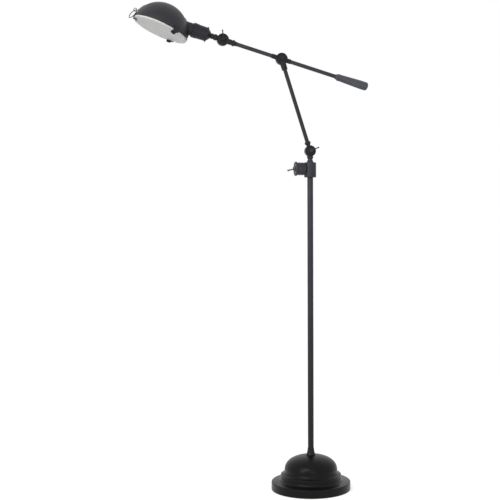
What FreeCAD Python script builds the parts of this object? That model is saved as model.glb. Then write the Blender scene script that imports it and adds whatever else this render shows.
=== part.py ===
import FreeCAD, Part
import math
import os

# Floor lamp with a balanced reading arm. Millimetres and degrees, +Z up.
# The origin is the pole's axis on the floor. The arms lie in the XZ plane:
# the shade is towards -X, the counterweight towards +X, the thumb levers face -Y.

V = FreeCAD.Vector
ORIGIN = V(0, 0, 0)
UP = V(0, 0, 1)
ALONG_Y = V(0, 1, 0)

# ------------------------------------------------------------------ stance, degrees
LOWER_ARM_LEAN = 17.7       # lower arm off the upright, towards the shade
BALANCE_ARM_SLOPE = 15.7    # balance arm above the level, rising towards the shade
HEAD_SLOPE = 15.7           # socket axis above the level
MOUTH_SLOPE = 23.3          # shade mouth off the level
TOGGLE_DROP = 16.0          # switch lever below its own axis
LOW_LEVER_LEAN = 66.0       # thumb levers off the upright, towards +X
MID_LEVER_LEAN = 162.3
HEAD_LEVER_LEAN = -5.5
RING_YAW = 31.0             # wire of the pull ring off the eye's own axis

# ------------------------------------------------------------------ running and assembly clearances
BOLT_PLAY = 0.05            # pivot bolts and the swivel stem, per side
SLIP = 0.1                  # parts that slide together and stay, per side
FACE_GAP = 0.05             # flat faces that turn on each other
SEAT_GAP = 0.3              # curved faces that rest near each other

# ------------------------------------------------------------------ base
BASE_RADIUS = 127.0
COVER_WALL = 1.5
COVER_LIFT = 1.0            # cover edge above the floor
RING_HEIGHT = 25.8          # top of the outer ring
RING_ROUND = 3.0
SHELF_RISE = 2.2            # shelf's inner edge above the ring
COVE_RADIUS = 97.0          # wall between the two coves
COVE_TOP_HEIGHT = 48.5
DOME_RADIUS = 85.0
DOME_TOP_HEIGHT = 109.0
DOME_SQUARENESS = 2.3       # exponent of the dome's outline; 2 is an ellipse
DOME_STEPS = 9
WALL_EDGE_ROUND = 2.0
COVE_SIZE = 9.0             # lower cove, shelf to wall
NECK_FOOT_RADIUS = 14.8
NECK_HEIGHT = 22.0
NECK_LIP = 0.9              # metal left around the pole at the top of the collar
PAD_MARGIN = 2.0            # pad inside the weight's edge
PAD_THICKNESS = 2.0
WEIGHT_MARGIN = 4.5         # weight inside the cover's wall
WEIGHT_HEADROOM = 3.8       # weight's disc below the top of the ring
WEIGHT_TIER_RADIUS = 60.0
WEIGHT_TIER_HEIGHT = 34.0
WEIGHT_BOSS_RADIUS = 17.0
WEIGHT_BOSS_HEIGHT = 58.0
WEIGHT_ROUND = 3.0
SEAT_RIB_INSET = 7.0        # rib that carries the cover's shelf, inside the weight's edge
SEAT_RIB_WIDTH = 4.0
NUT_POCKET_RADIUS = 19.0
NUT_POCKET_DEPTH = 10.0
CORD_CHANNEL_WIDTH = 10.0
CORD_CHANNEL_HEIGHT = 12.0
CORD_HOLE_HEIGHT = 10.0
CORD_BUSHING_RADIUS = 5.0
CORD_BUSHING_BORE = 3.2
CORD_BUSHING_FLANGE_RADIUS = 7.0
CORD_BUSHING_FLANGE = 2.2
CORD_BUSHING_LENGTH = 5.5
NIPPLE_RADIUS = 4.9
NIPPLE_BORE = 3.6
NIPPLE_ABOVE_BOSS = 14.0
BASE_NUT_WIDTH = 22.0       # across the flats
BASE_NUT_THICKNESS = 5.0
BASE_WASHER_RADIUS = 15.0
BASE_WASHER_THICKNESS = 1.5

# ------------------------------------------------------------------ pole
POLE_RADIUS = 9.5
POLE_WALL = 1.2
POLE_TOP_HEIGHT = 1016.0
INSERT_LENGTH = 20.0

# ------------------------------------------------------------------ switch housing
HOUSING_RADIUS = 19.3
HOUSING_LENGTH = 47.6
HOUSING_ROUND = 1.0
POLE_SOCKET_DEPTH = 14.0
SWITCH_RISE = 3.2           # switch axis above the middle of the housing
CUP_RADIUS = 19.9
CUP_WALL = 1.6
CUP_LENGTH = 44.5           # from the pole's axis to the cup's mouth
CUP_START = 16.5            # from the pole's axis to the cup's back
CUP_BACK_ROUND = 3.0
CUP_BACK = 22.0             # from the pole's axis to the floor of the cup
CUP_BEADS = (27.0, 36.0)
BEAD_WIDTH = 2.6
BEAD_HEIGHT = 1.0
WIRE_PORT_RADIUS = 8.0
CAP_RADIUS = 22.9
CAP_THICKNESS = 6.0
CAP_ROUND = 1.6
CAP_SPIGOT = 5.0
CAP_SCREW_CIRCLE = 15.6
SWITCH_BUSHING_RADIUS = 6.0
SWITCH_BUSHING_PROUD = 5.5
SWITCH_BORE_RADIUS = 4.3
SWITCH_BORE_DEPTH = 8.0
SWITCH_BLOCK_WIDTH = 16.0
SWITCH_BLOCK_DEPTH = 24.0
SWITCH_BLOCK_HEIGHT = 15.0
SWITCH_NUT_RADIUS = 8.6
SWITCH_NUT_THICKNESS = 3.4
TOGGLE_LENGTH = 24.0        # pivot to the end of the bat
TOGGLE_PIVOT_PROUD = 2.0    # pivot beyond the end cap's face
TOGGLE_ROOT_RADIUS = 1.35
TOGGLE_TIP_RADIUS = 2.8
TOGGLE_BALL_PLAY = 0.08

# ------------------------------------------------------------------ swivel
SWIVEL_STEM_RADIUS = 6.5
SWIVEL_STEM_LENGTH = 16.0
SWIVEL_WIRE_BORE = 3.4
SWIVEL_NUT_RADIUS = 9.0
SWIVEL_NUT_THICKNESS = 4.0
SWIVEL_CAVITY_RADIUS = 11.0
SWIVEL_CAVITY_HEIGHT = 9.0
CONE_FOOT_RADIUS = 11.7
CONE_WAIST_RADIUS = 7.8
CONE_HEIGHT = 12.4
LOW_PIVOT_RISE = 37.2       # first pivot above the housing

# ------------------------------------------------------------------ knuckles
LOW_CHEEK_RADIUS = 17.7
CHEEK_RADIUS = 18.9
CHEEK_THICKNESS = 8.2
CHEEK_GAP = 0.35            # cheek to the joint plane
CHEEK_ROUND = 1.3
RIM_BEAD = 2.4              # width of the raised rim
FACE_SINK = 1.2             # depth of the sunk ring inside the rim
FACE_BOSS_RADIUS = 7.6
STEM_START = 0.45           # the stem begins this share of the cheek's radius out
SWEEP_GAP = 0.6             # stem to the other cheek's edge
BOLT_RADIUS = 3.0
BOLT_HEAD_RADIUS = 5.6
BOLT_HEAD_HEIGHT = 3.4
BOLT_HEX_WIDTH = 5.0
BOLT_HEX_DEPTH = 2.2
FRICTION_WASHER_RADIUS = 12.0
SWIVEL_KNUCKLE_STEM_RADIUS = 9.7
SWIVEL_KNUCKLE_BEAD_RADIUS = 10.3
SWIVEL_KNUCKLE_SPIGOT = 5.0
LEVER_HUB_RADIUS = 6.4
LEVER_HUB_LENGTH = 8.0
LEVER_LINE = 13.6           # lever's own line to the joint plane
LEVER_REACH = 26.8          # pivot to the ball's centre
LEVER_ROOT_RADIUS = 3.0
LEVER_NECK_RADIUS = 1.5
LEVER_BALL_RADIUS = 2.5

# ------------------------------------------------------------------ arms
ROD_RADIUS = 6.35
ROD_WALL = 1.2
SPIGOT_LENGTH = 12.0
LOWER_ARM_LENGTH = 307.5    # pivot to pivot
FRONT_ARM_LENGTH = 197.0    # pivot to pivot
FERRULE_RADIUS = 9.6
FERRULE_ROUND = 1.4
LOWER_NECK_RADIUS = 6.8
LOWER_NECK_END = 22.5
LOWER_FERRULE_LENGTH = 8.5
MID_STEM_RADIUS = 9.7
MID_STEM_END = 30.5
MID_GROOVE = 1.3
MID_FERRULE_LENGTH = 6.0
HUB_BOSS_RADIUS = 7.6
HUB_FRONT_END = 33.0
HUB_REAR_END = 31.0
HEAD_STEM_RADIUS = 8.9
HEAD_STEM_END = 31.0
HEAD_FERRULE_RADIUS = 10.0
HEAD_FERRULE_LENGTH = 7.0
HEAD_FERRULE_TAPER = 9.0
REAR_ARM_LENGTH = 297.5     # middle pivot to the end of the counterweight
WEIGHT_BODY_LENGTH = 74.0
WEIGHT_FRONT_RADIUS = 10.8
WEIGHT_BACK_RADIUS = 13.8
END_CAP_LENGTH = 27.0
END_CAP_ROUND = 8.0
SEAM_DEPTH = 0.5
COLLAR_LENGTH = 12.0
COLLAR_FRONT_RADIUS = 7.6
COLLAR_BEAD_RADIUS = 11.6
COLLAR_BEAD_WIDTH = 4.0

# ------------------------------------------------------------------ head
HEAD_BEAD_RADIUS = 9.9
HEAD_BEAD_END = 29.0
HEAD_SHAFT_RADIUS = 5.0
HEAD_SHAFT_LENGTH = 19.0
HEAD_WIRE_BORE = 2.8
RING_BEAD_RADIUS = 8.8
RING_BEAD_START = 30.5
RING_BEAD_END = 39.4
CAP_CONE_START = 40.2
CAP_CONE_RADIUS = 8.6
CAP_FACE_RADIUS = 20.6
CAP_FLANGE_START = 51.2
CAP_FLANGE_END = 55.6
CAP_FLANGE_RADIUS = 23.4
FLANGE_ROUND = 0.9
SOCKET_BACK_RADIUS = 21.6
SOCKET_FRONT_RADIUS = 22.8
SOCKET_WALL = 1.2
SOCKET_END = 100.0
SOCKET_BAND_WIDTH = 16.0
SOCKET_BAND_HEIGHT = 0.7
LAMPHOLDER_RADIUS = 17.0
LAMPHOLDER_LENGTH = 42.0
LAMPHOLDER_FOOT = 8.0
BULB_BASE_RADIUS = 13.2
BULB_BASE_LENGTH = 27.0
BULB_CONTACT = 7.0          # bulb's foot beyond the lampholder's floor
BULB_RADIUS = 15.0
BULB_WALL = 1.0
BULB_LENGTH = 88.0          # glass beyond the lampholder
BULB_END_ROUND = 0.96       # share of the radius that rounds the end
SCREW_HEAD_RADIUS = 2.2
SCREW_HEAD_HEIGHT = 1.3
SCREW_SHANK_RADIUS = 1.5
SCREW_SHANK_LENGTH = 3.0
FITTER_RADIUS = 20.0
FITTER_WALL = 2.0
FITTER_SADDLE_RADIUS = 27.5
FITTER_SADDLE_THICKNESS = 1.6
FITTER_START = 12.0         # collar's end inside the socket cup
FITTER_NECK = 14.5          # socket cup to the dome, along the socket axis
SOCKET_SCREW_INSET = 8.0    # screws back from the cup's front

# ------------------------------------------------------------------ shade
SHADE_RADIUS = 88.9
SHADE_WALL = 1.2
HEM_HEIGHT = 4.0
HEM_WALL = 2.2
SHADE_DROP = 36.0           # dome's centre below the socket axis
MOUTH_RISE = 8.0            # mouth above the dome's centre
LENS_MARGIN = 1.3           # glass inside the shade's edge
LENS_THICKNESS = 5.0
CLIP_WIDTH = 20.0
CLIP_WALL = 1.2
CLIP_RISE = 10.0            # above the mouth
CLIP_LIP = 9.0
CLIP_COUNT = 3
RIVET_RADIUS = 2.2
RIVET_HEIGHT = 1.1
LUG_WIDTH = 8.0
LUG_WALL = 1.5
LUG_TOP = 37.0              # strap's top, degrees above the mouth
LUG_BEND = 23.0             # where the strap leaves the shade, degrees above the mouth
LUG_RIVETS = (33.5, 27.0)
EYE_ANGLE = 16.8
EYE_STANDOFF = 8.6          # eye's centre off the shade
EYE_BORE = 4.0
EYE_WALL = 1.4
EYE_WIDTH = 4.4
PULL_RING_RADIUS = 15.6
PULL_RING_WIRE = 1.3
PULL_RING_DROP = 1.2        # wire below the eye's centre
RING_STEPS = 90             # places on the ring where its gap to the dome is measured

# ------------------------------------------------------------------ places that follow from the sizes
TINY = 1e-6
DEEP = 60.0                 # longer than any cut needs
DIAGONAL = math.sqrt(0.5)
SHELF_INNER_RADIUS = COVE_RADIUS + COVE_SIZE
SHELF_INNER_HEIGHT = RING_HEIGHT + SHELF_RISE
WEIGHT_RADIUS = BASE_RADIUS - COVER_WALL - WEIGHT_MARGIN
WEIGHT_HEIGHT = RING_HEIGHT - WEIGHT_HEADROOM
SEAT_RIB_RADIUS = WEIGHT_RADIUS - SEAT_RIB_INSET
PAD_RADIUS = WEIGHT_RADIUS - PAD_MARGIN
DOME_FOOT_HEIGHT = COVE_TOP_HEIGHT + COVE_RADIUS - DOME_RADIUS
CHEEK_OUTER = CHEEK_GAP + CHEEK_THICKNESS
HOUSING_FOOT = POLE_TOP_HEIGHT - POLE_SOCKET_DEPTH
HOUSING_TOP = HOUSING_FOOT + HOUSING_LENGTH
SWITCH_HEIGHT = HOUSING_FOOT + HOUSING_LENGTH / 2 + SWITCH_RISE
CAP_FACE = CUP_LENGTH + CAP_THICKNESS
ROD_BORE = ROD_RADIUS - ROD_WALL
SPIGOT_RADIUS = ROD_BORE - SLIP
FERRULE_BORE = ROD_RADIUS + SLIP
KNUCKLE_STEM_END = LOW_PIVOT_RISE - CONE_HEIGHT
COUNTERWEIGHT_START = REAR_ARM_LENGTH - END_CAP_LENGTH - WEIGHT_BODY_LENGTH
COLLAR_START = COUNTERWEIGHT_START - COLLAR_LENGTH
SOCKET_BAND_START = SOCKET_END - SOCKET_BAND_WIDTH
LAMPHOLDER_END = CAP_FLANGE_END + LAMPHOLDER_LENGTH
SHADE_REACH = SOCKET_END + FITTER_NECK + math.sqrt(SHADE_RADIUS ** 2 - SHADE_DROP ** 2)
MOUTH_RADIUS = math.sqrt(SHADE_RADIUS ** 2 - MOUTH_RISE ** 2)
LENS_RADIUS = MOUTH_RADIUS - LENS_MARGIN
LENS_TOP = MOUTH_RISE - FACE_GAP
LENS_FOOT = LENS_TOP - LENS_THICKNESS

LOWER_LEAN = -LOWER_ARM_LEAN
FRONT_LEAN = BALANCE_ARM_SLOPE - 90
REAR_LEAN = FRONT_LEAN + 180
HEAD_LEAN = HEAD_SLOPE - 90


def direction(lean):
    """Unit vector in the XZ plane, leaning from +Z towards +X."""
    turn = math.radians(lean)
    return V(math.sin(turn), 0, math.cos(turn))


LOW_PIVOT = V(0, 0, HOUSING_TOP + LOW_PIVOT_RISE)
MID_PIVOT = LOW_PIVOT + direction(LOWER_LEAN) * LOWER_ARM_LENGTH
HEAD_PIVOT = MID_PIVOT + direction(FRONT_LEAN) * FRONT_ARM_LENGTH
SHADE_CENTRE = (HEAD_PIVOT + direction(HEAD_LEAN) * SHADE_REACH
                - direction(HEAD_LEAN + 90) * SHADE_DROP)


# ================================================================== drawing helpers
def outline(steps):
    """Closed wire in XZ. (x, z) is a straight step, (xm, zm, x, z) an arc through (xm, zm)
    and a list of points a smooth curve through them all."""
    edges = []
    here = V(steps[0][0], 0, steps[0][1])
    for step in steps[1:] + [steps[0][:2]]:
        if isinstance(step, list):
            points = [here] + [V(x, 0, z) for x, z in step]
            curve = Part.BSplineCurve()
            curve.interpolate(points)
            edges.append(curve.toShape())
            here = points[-1]
            continue
        there = V(step[-2], 0, step[-1])
        if len(step) == 4:
            edges.append(Part.Arc(here, V(step[0], 0, step[1]), there).toShape())
        elif here.distanceToPoint(there) > TINY:
            edges.append(Part.LineSegment(here, there).toShape())
        here = there
    return Part.Wire(edges)


def rounded(corners):
    """Steps for an outline of straight sides; a corner's third value is the radius that rounds it."""
    steps = []
    for index, corner in enumerate(corners):
        here = V(corner[0], 0, corner[1])
        if len(corner) == 2:
            steps.append((here.x, here.z))
            continue
        before = V(corners[index - 1][0], 0, corners[index - 1][1])
        after_corner = corners[(index + 1) % len(corners)]
        after = V(after_corner[0], 0, after_corner[1])
        to_before = (before - here).normalize()
        to_after = (after - here).normalize()
        half = to_before.getAngle(to_after) / 2
        entry = here + to_before * (corner[2] / math.tan(half))
        leave = here + to_after * (corner[2] / math.tan(half))
        inward = (to_before + to_after).normalize()
        middle = here + inward * (corner[2] / math.sin(half) - corner[2])
        steps.append((entry.x, entry.z))
        steps.append((middle.x, middle.z, leave.x, leave.z))
    return steps


def turned(steps):
    """Solid turned about Z from a closed half-section."""
    return Part.Face(outline(steps)).revolve(ORIGIN, UP, 360)


def rod(radius, low, high):
    """Round bar on the Z axis between two heights."""
    return Part.makeCylinder(radius, high - low, V(0, 0, low))


def tube(outer, bore, low, high):
    return rod(outer, low, high).cut(rod(bore, low, high))


def hexagon(width, low, high):
    """Hexagonal bar on the Z axis, width across its flats."""
    reach = width / math.sqrt(3)
    corners = [V(reach * math.cos(k * math.pi / 3), reach * math.sin(k * math.pi / 3), low) for k in range(6)]
    return Part.Face(Part.makePolygon(corners + corners[:1])).extrude(V(0, 0, high - low))


def placed(shape, origin, lean):
    """The shape turned about Y so that its Z axis leans towards +X, then moved to its origin."""
    moved = shape.copy()
    moved.rotate(ORIGIN, ALONG_Y, lean)
    moved.translate(origin)
    return moved


def facing(shape, side):
    """The shape with its Z axis turned to +Y (side 1) or to -Y (side -1)."""
    moved = shape.copy()
    moved.rotate(ORIGIN, V(1, 0, 0), -90 * side)
    return moved


def around(shape, angles):
    """Copies of the shape turned about Z, as one group."""
    copies = []
    for angle in angles:
        copy = shape.copy()
        copy.rotate(ORIGIN, UP, angle)
        copies.append(copy)
    return Part.makeCompound(copies)


def button_head(radius, height, shank_radius, shank_length):
    """Domed head standing on the XY plane, with its shank below."""
    dome = (radius ** 2 + height ** 2) / (2 * height)
    half_turn = math.asin(radius / dome) / 2
    return turned([
        (0, -shank_length),
        (shank_radius, -shank_length),
        (shank_radius, 0),
        (radius, 0),
        (dome * math.sin(half_turn), height - dome * (1 - math.cos(half_turn)), 0, height),
    ])


# ================================================================== base
def dome_form(inset, foot):
    """The base's outer form moved in by a wall's thickness, as a solid."""
    shelf = SHELF_INNER_HEIGHT - inset
    lower_round = RING_ROUND - inset
    cove = COVE_SIZE + inset
    cove_centre = SHELF_INNER_HEIGHT + COVE_SIZE
    edge_round = WALL_EDGE_ROUND - inset
    upper_cove = COVE_RADIUS - DOME_RADIUS + inset
    edge_top = DOME_FOOT_HEIGHT - math.sqrt(upper_cove ** 2 - WALL_EDGE_ROUND ** 2)
    mid_turn = (math.radians(90) + math.asin(WALL_EDGE_ROUND / upper_cove)) / 2
    dome_height = DOME_TOP_HEIGHT - DOME_FOOT_HEIGHT - inset
    dome_radius = DOME_RADIUS - inset
    dome = []
    for step in range(1, DOME_STEPS + 1):
        turn = math.radians(90) * step / DOME_STEPS
        across = max(math.cos(turn), 0) ** (2 / DOME_SQUARENESS)
        rise = math.sin(turn) ** (2 / DOME_SQUARENESS)
        dome.append((dome_radius * across, DOME_FOOT_HEIGHT + dome_height * rise))
    dome[-1] = (0, DOME_FOOT_HEIGHT + dome_height)
    return turned([
        (0, foot),
        (BASE_RADIUS - inset, foot),
        (BASE_RADIUS - inset, RING_HEIGHT - RING_ROUND),
        (BASE_RADIUS - RING_ROUND + lower_round * DIAGONAL,
         RING_HEIGHT - RING_ROUND + lower_round * DIAGONAL,
         BASE_RADIUS - RING_ROUND, RING_HEIGHT - inset),
        (SHELF_INNER_RADIUS, shelf),
        (SHELF_INNER_RADIUS - cove * DIAGONAL, cove_centre - cove * DIAGONAL,
         COVE_RADIUS - inset, cove_centre),
        (COVE_RADIUS - inset, edge_top - edge_round),
        (COVE_RADIUS - WALL_EDGE_ROUND + edge_round * DIAGONAL,
         edge_top - edge_round + edge_round * DIAGONAL,
         COVE_RADIUS - WALL_EDGE_ROUND, edge_top),
        (COVE_RADIUS - upper_cove * math.sin(mid_turn), DOME_FOOT_HEIGHT - upper_cove * math.cos(mid_turn),
         COVE_RADIUS - upper_cove, DOME_FOOT_HEIGHT),
        dome,
    ])


def base_cover():
    """Spun steel cover: outer ring, two coves and a squared dome."""
    cover = dome_form(0, COVER_LIFT).cut(dome_form(COVER_WALL, COVER_LIFT - COVER_WALL))
    pole_hole = rod(POLE_RADIUS + SLIP, 0, DOME_TOP_HEIGHT + DEEP)
    return cover.cut(pole_hole).cut(at_cord_exit(rod(CORD_BUSHING_RADIUS + SLIP, -DEEP / 4, DEEP / 4)))


def at_cord_exit(shape):
    """Shapes drawn about Z, put on the cover's side wall at the back."""
    moved = facing(shape, 1)
    moved.translate(V(0, BASE_RADIUS, CORD_HOLE_HEIGHT))
    return moved


def cord_bushing():
    inner_lip = CORD_BUSHING_RADIUS + 2 * SLIP
    return at_cord_exit(turned(rounded([
        (CORD_BUSHING_BORE, -CORD_BUSHING_LENGTH),
        (CORD_BUSHING_RADIUS, -CORD_BUSHING_LENGTH),
        (inner_lip, -COVER_WALL - SEAT_GAP * 2),
        (CORD_BUSHING_RADIUS, -COVER_WALL - SEAT_GAP * 2),
        (CORD_BUSHING_RADIUS, FACE_GAP),
        (CORD_BUSHING_FLANGE_RADIUS, FACE_GAP),
        (CORD_BUSHING_FLANGE_RADIUS, CORD_BUSHING_FLANGE, 1.0),
        (CORD_BUSHING_BORE, CORD_BUSHING_FLANGE, 0.8),
    ])))


def base_weight():
    """Cast disc with a boss for the pole, a rib under the cover's shelf and a cord channel below."""
    rib_foot = SEAT_RIB_RADIUS - SEAT_RIB_WIDTH / 2
    rib_edge = SEAT_RIB_RADIUS + SEAT_RIB_WIDTH / 2
    slope = (SHELF_INNER_HEIGHT - RING_HEIGHT) / (BASE_RADIUS - RING_ROUND - SHELF_INNER_RADIUS)
    shelf_at_rib = RING_HEIGHT + slope * (BASE_RADIUS - RING_ROUND - rib_edge)
    rib_top = shelf_at_rib - COVER_WALL - SEAT_GAP
    bore = NIPPLE_RADIUS + SLIP
    disc = turned(rounded([
        (bore, PAD_THICKNESS),
        (WEIGHT_RADIUS, PAD_THICKNESS),
        (WEIGHT_RADIUS, WEIGHT_HEIGHT, WEIGHT_ROUND),
        (rib_edge, WEIGHT_HEIGHT),
        (rib_edge, rib_top),
        (rib_foot, rib_top),
        (rib_foot, WEIGHT_HEIGHT),
        (WEIGHT_TIER_RADIUS, WEIGHT_HEIGHT),
        (WEIGHT_TIER_RADIUS - WEIGHT_ROUND, WEIGHT_TIER_HEIGHT, WEIGHT_ROUND),
        (WEIGHT_BOSS_RADIUS, WEIGHT_TIER_HEIGHT, WEIGHT_ROUND),
        (WEIGHT_BOSS_RADIUS, WEIGHT_BOSS_HEIGHT),
        (bore, WEIGHT_BOSS_HEIGHT),
    ]))
    pocket = rod(NUT_POCKET_RADIUS, 0, PAD_THICKNESS + NUT_POCKET_DEPTH)
    channel = Part.makeBox(CORD_CHANNEL_WIDTH, BASE_RADIUS, CORD_CHANNEL_HEIGHT + PAD_THICKNESS,
                           V(-CORD_CHANNEL_WIDTH / 2, 0, 0))
    return disc.cut(pocket).cut(channel)


def base_pad():
    """Felt disc glued under the weight."""
    return rod(PAD_RADIUS, 0, PAD_THICKNESS)


def base_washer():
    roof = PAD_THICKNESS + NUT_POCKET_DEPTH
    return tube(BASE_WASHER_RADIUS, NIPPLE_RADIUS, roof - BASE_WASHER_THICKNESS, roof)


def base_nut():
    top = PAD_THICKNESS + NUT_POCKET_DEPTH - BASE_WASHER_THICKNESS
    foot = top - BASE_NUT_THICKNESS
    return hexagon(BASE_NUT_WIDTH, foot, top).cut(rod(NIPPLE_RADIUS, foot, top))


def center_nipple():
    """Threaded tube that clamps pole, cover and weight together."""
    return tube(NIPPLE_RADIUS, NIPPLE_BORE, PAD_THICKNESS + FACE_GAP, WEIGHT_BOSS_HEIGHT + NIPPLE_ABOVE_BOSS)


def pole_insert():
    return tube(POLE_RADIUS - POLE_WALL, NIPPLE_RADIUS, WEIGHT_BOSS_HEIGHT, WEIGHT_BOSS_HEIGHT + INSERT_LENGTH)


def pole_tube():
    return tube(POLE_RADIUS, POLE_RADIUS - POLE_WALL, WEIGHT_BOSS_HEIGHT, POLE_TOP_HEIGHT)


def base_neck():
    """Trumpet collar that hides the hole in the dome; its side ends upright against the pole."""
    bore = POLE_RADIUS + SLIP
    lip = bore + NECK_LIP
    top = DOME_TOP_HEIGHT + NECK_HEIGHT
    edge = DOME_TOP_HEIGHT + NECK_LIP
    rise = top - edge
    flare = NECK_FOOT_RADIUS - lip
    sweep = (flare ** 2 + rise ** 2) / (2 * flare)
    half_turn = math.asin(rise / sweep) / 2
    return turned([
        (bore, DOME_TOP_HEIGHT),
        (NECK_FOOT_RADIUS, DOME_TOP_HEIGHT),
        (NECK_FOOT_RADIUS, edge),
        (lip + sweep * (1 - math.cos(half_turn)), top - sweep * math.sin(half_turn), lip, top),
        (bore, top),
    ])


# ================================================================== switch housing
def at_switch(shape):
    """Shapes drawn about Z, laid along the switch axis towards -X."""
    return placed(shape, V(0, 0, SWITCH_HEIGHT), -90)


def switch_housing():
    """Turned barrel on the pole's top, bored for the pole, the swivel stem and the wires."""
    barrel = turned(rounded([
        (0, HOUSING_FOOT),
        (HOUSING_RADIUS, HOUSING_FOOT, HOUSING_ROUND),
        (HOUSING_RADIUS, HOUSING_TOP, HOUSING_ROUND),
        (0, HOUSING_TOP),
    ]))
    stem_end = HOUSING_TOP - SWIVEL_STEM_LENGTH
    cavity_top = stem_end + SWIVEL_NUT_THICKNESS + 2 * FACE_GAP
    barrel = barrel.cut(rod(POLE_RADIUS + SLIP, HOUSING_FOOT, POLE_TOP_HEIGHT))
    barrel = barrel.cut(rod(SWIVEL_STEM_RADIUS + BOLT_PLAY, cavity_top, HOUSING_TOP))
    barrel = barrel.cut(rod(SWIVEL_CAVITY_RADIUS, cavity_top - SWIVEL_CAVITY_HEIGHT, cavity_top))
    barrel = barrel.cut(rod(POLE_RADIUS - POLE_WALL, POLE_TOP_HEIGHT, cavity_top))
    return barrel.cut(at_switch(rod(WIRE_PORT_RADIUS, 0, HOUSING_RADIUS + CUP_WALL)))


def switch_cup():
    """Cup on the barrel's side, saddled to it, with two turned beads."""
    corners = [(0, CUP_START), (CUP_RADIUS, CUP_START, CUP_BACK_ROUND)]
    for place in CUP_BEADS:
        corners += [(CUP_RADIUS, place - BEAD_WIDTH / 2),
                    (CUP_RADIUS + BEAD_HEIGHT, place - BEAD_WIDTH / 2, BEAD_HEIGHT * 0.8),
                    (CUP_RADIUS + BEAD_HEIGHT, place + BEAD_WIDTH / 2, BEAD_HEIGHT * 0.8),
                    (CUP_RADIUS, place + BEAD_WIDTH / 2)]
    corners += [(CUP_RADIUS, CUP_LENGTH), (0, CUP_LENGTH)]
    cup = turned(rounded(corners))
    cup = cup.cut(rod(CUP_RADIUS - CUP_WALL, CUP_BACK, CUP_LENGTH))
    cup = at_switch(cup.cut(rod(WIRE_PORT_RADIUS, 0, CUP_BACK)))
    return cup.cut(rod(HOUSING_RADIUS, HOUSING_FOOT, HOUSING_TOP))


def switch_end_cap():
    spigot = CUP_RADIUS - CUP_WALL - SLIP
    cap = turned(rounded([
        (SWITCH_BUSHING_RADIUS + SLIP, CUP_LENGTH - CAP_SPIGOT),
        (spigot, CUP_LENGTH - CAP_SPIGOT),
        (spigot, CUP_LENGTH),
        (CAP_RADIUS, CUP_LENGTH, CAP_ROUND),
        (CAP_RADIUS, CAP_FACE, CAP_ROUND),
        (SWITCH_BUSHING_RADIUS + SLIP, CAP_FACE),
    ]))
    return at_switch(cap.cut(end_cap_screw_shanks()))


def end_cap_screw_shanks():
    shank = rod(SCREW_SHANK_RADIUS, CAP_FACE - SCREW_SHANK_LENGTH, CAP_FACE)
    shank.translate(V(CAP_SCREW_CIRCLE, 0, 0))
    return around(shank, (0, 180))


def end_cap_screws():
    screw = button_head(SCREW_HEAD_RADIUS, SCREW_HEAD_HEIGHT, SCREW_SHANK_RADIUS, SCREW_SHANK_LENGTH)
    screw.translate(V(CAP_SCREW_CIRCLE, 0, CAP_FACE))
    return at_switch(around(screw, (0, 180)))


def switch_body():
    """Moulded switch block with its threaded bushing through the end cap."""
    block_end = CUP_LENGTH - CAP_SPIGOT
    block = Part.makeBox(SWITCH_BLOCK_HEIGHT, SWITCH_BLOCK_DEPTH, SWITCH_BLOCK_WIDTH,
                         V(-SWITCH_BLOCK_HEIGHT / 2, -SWITCH_BLOCK_DEPTH / 2, block_end - SWITCH_BLOCK_WIDTH))
    bushing = rod(SWITCH_BUSHING_RADIUS, block_end, CAP_FACE + SWITCH_BUSHING_PROUD)
    bore_floor = CAP_FACE + SWITCH_BUSHING_PROUD - SWITCH_BORE_DEPTH
    bore = rod(SWITCH_BORE_RADIUS, bore_floor, CAP_FACE + SWITCH_BUSHING_PROUD)
    return at_switch(block.fuse(bushing).cut(bore))


def switch_nut():
    """Round knurled nut that holds the switch in the cap."""
    return at_switch(turned(rounded([
        (SWITCH_BUSHING_RADIUS, CAP_FACE),
        (SWITCH_NUT_RADIUS, CAP_FACE),
        (SWITCH_NUT_RADIUS, CAP_FACE + SWITCH_NUT_THICKNESS, 0.8),
        (SWITCH_BUSHING_RADIUS, CAP_FACE + SWITCH_NUT_THICKNESS),
    ])))


def toggle_pivot():
    return V(-(CAP_FACE + TOGGLE_PIVOT_PROUD), 0, SWITCH_HEIGHT)


def switch_toggle():
    """Bat lever with a ball that turns in the bushing."""
    bat_end = TOGGLE_LENGTH - TOGGLE_TIP_RADIUS
    bat = Part.makeCone(TOGGLE_ROOT_RADIUS, TOGGLE_TIP_RADIUS, bat_end)
    tip = Part.makeSphere(TOGGLE_TIP_RADIUS, V(0, 0, bat_end))
    ball = Part.makeSphere(SWITCH_BORE_RADIUS - TOGGLE_BALL_PLAY)
    return placed(bat.fuse(tip).fuse(ball), toggle_pivot(), -90 - TOGGLE_DROP)


# ================================================================== swivel and knuckles
def neck_cone():
    """Waisted cone that turns on the housing, with its stem and wire bore."""
    waist_height = HOUSING_TOP + CONE_HEIGHT
    foot = HOUSING_TOP + FACE_GAP
    mid_radius = CONE_WAIST_RADIUS + (CONE_FOOT_RADIUS - CONE_WAIST_RADIUS) * 0.3
    cone = turned([
        (0, foot),
        (CONE_FOOT_RADIUS, foot),
        (CONE_FOOT_RADIUS, foot + CHEEK_ROUND),
        (mid_radius, HOUSING_TOP + CONE_HEIGHT * 0.48, CONE_WAIST_RADIUS, waist_height - CHEEK_ROUND),
        (CONE_WAIST_RADIUS, waist_height),
        (0, waist_height),
    ])
    stem = rod(SWIVEL_STEM_RADIUS, HOUSING_TOP - SWIVEL_STEM_LENGTH, foot)
    cone = cone.fuse(stem).cut(rod(SWIVEL_WIRE_BORE, HOUSING_TOP - DEEP, waist_height))
    return cone.cut(rod(SWIVEL_KNUCKLE_SPIGOT, waist_height - SWIVEL_KNUCKLE_SPIGOT, waist_height))


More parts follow.
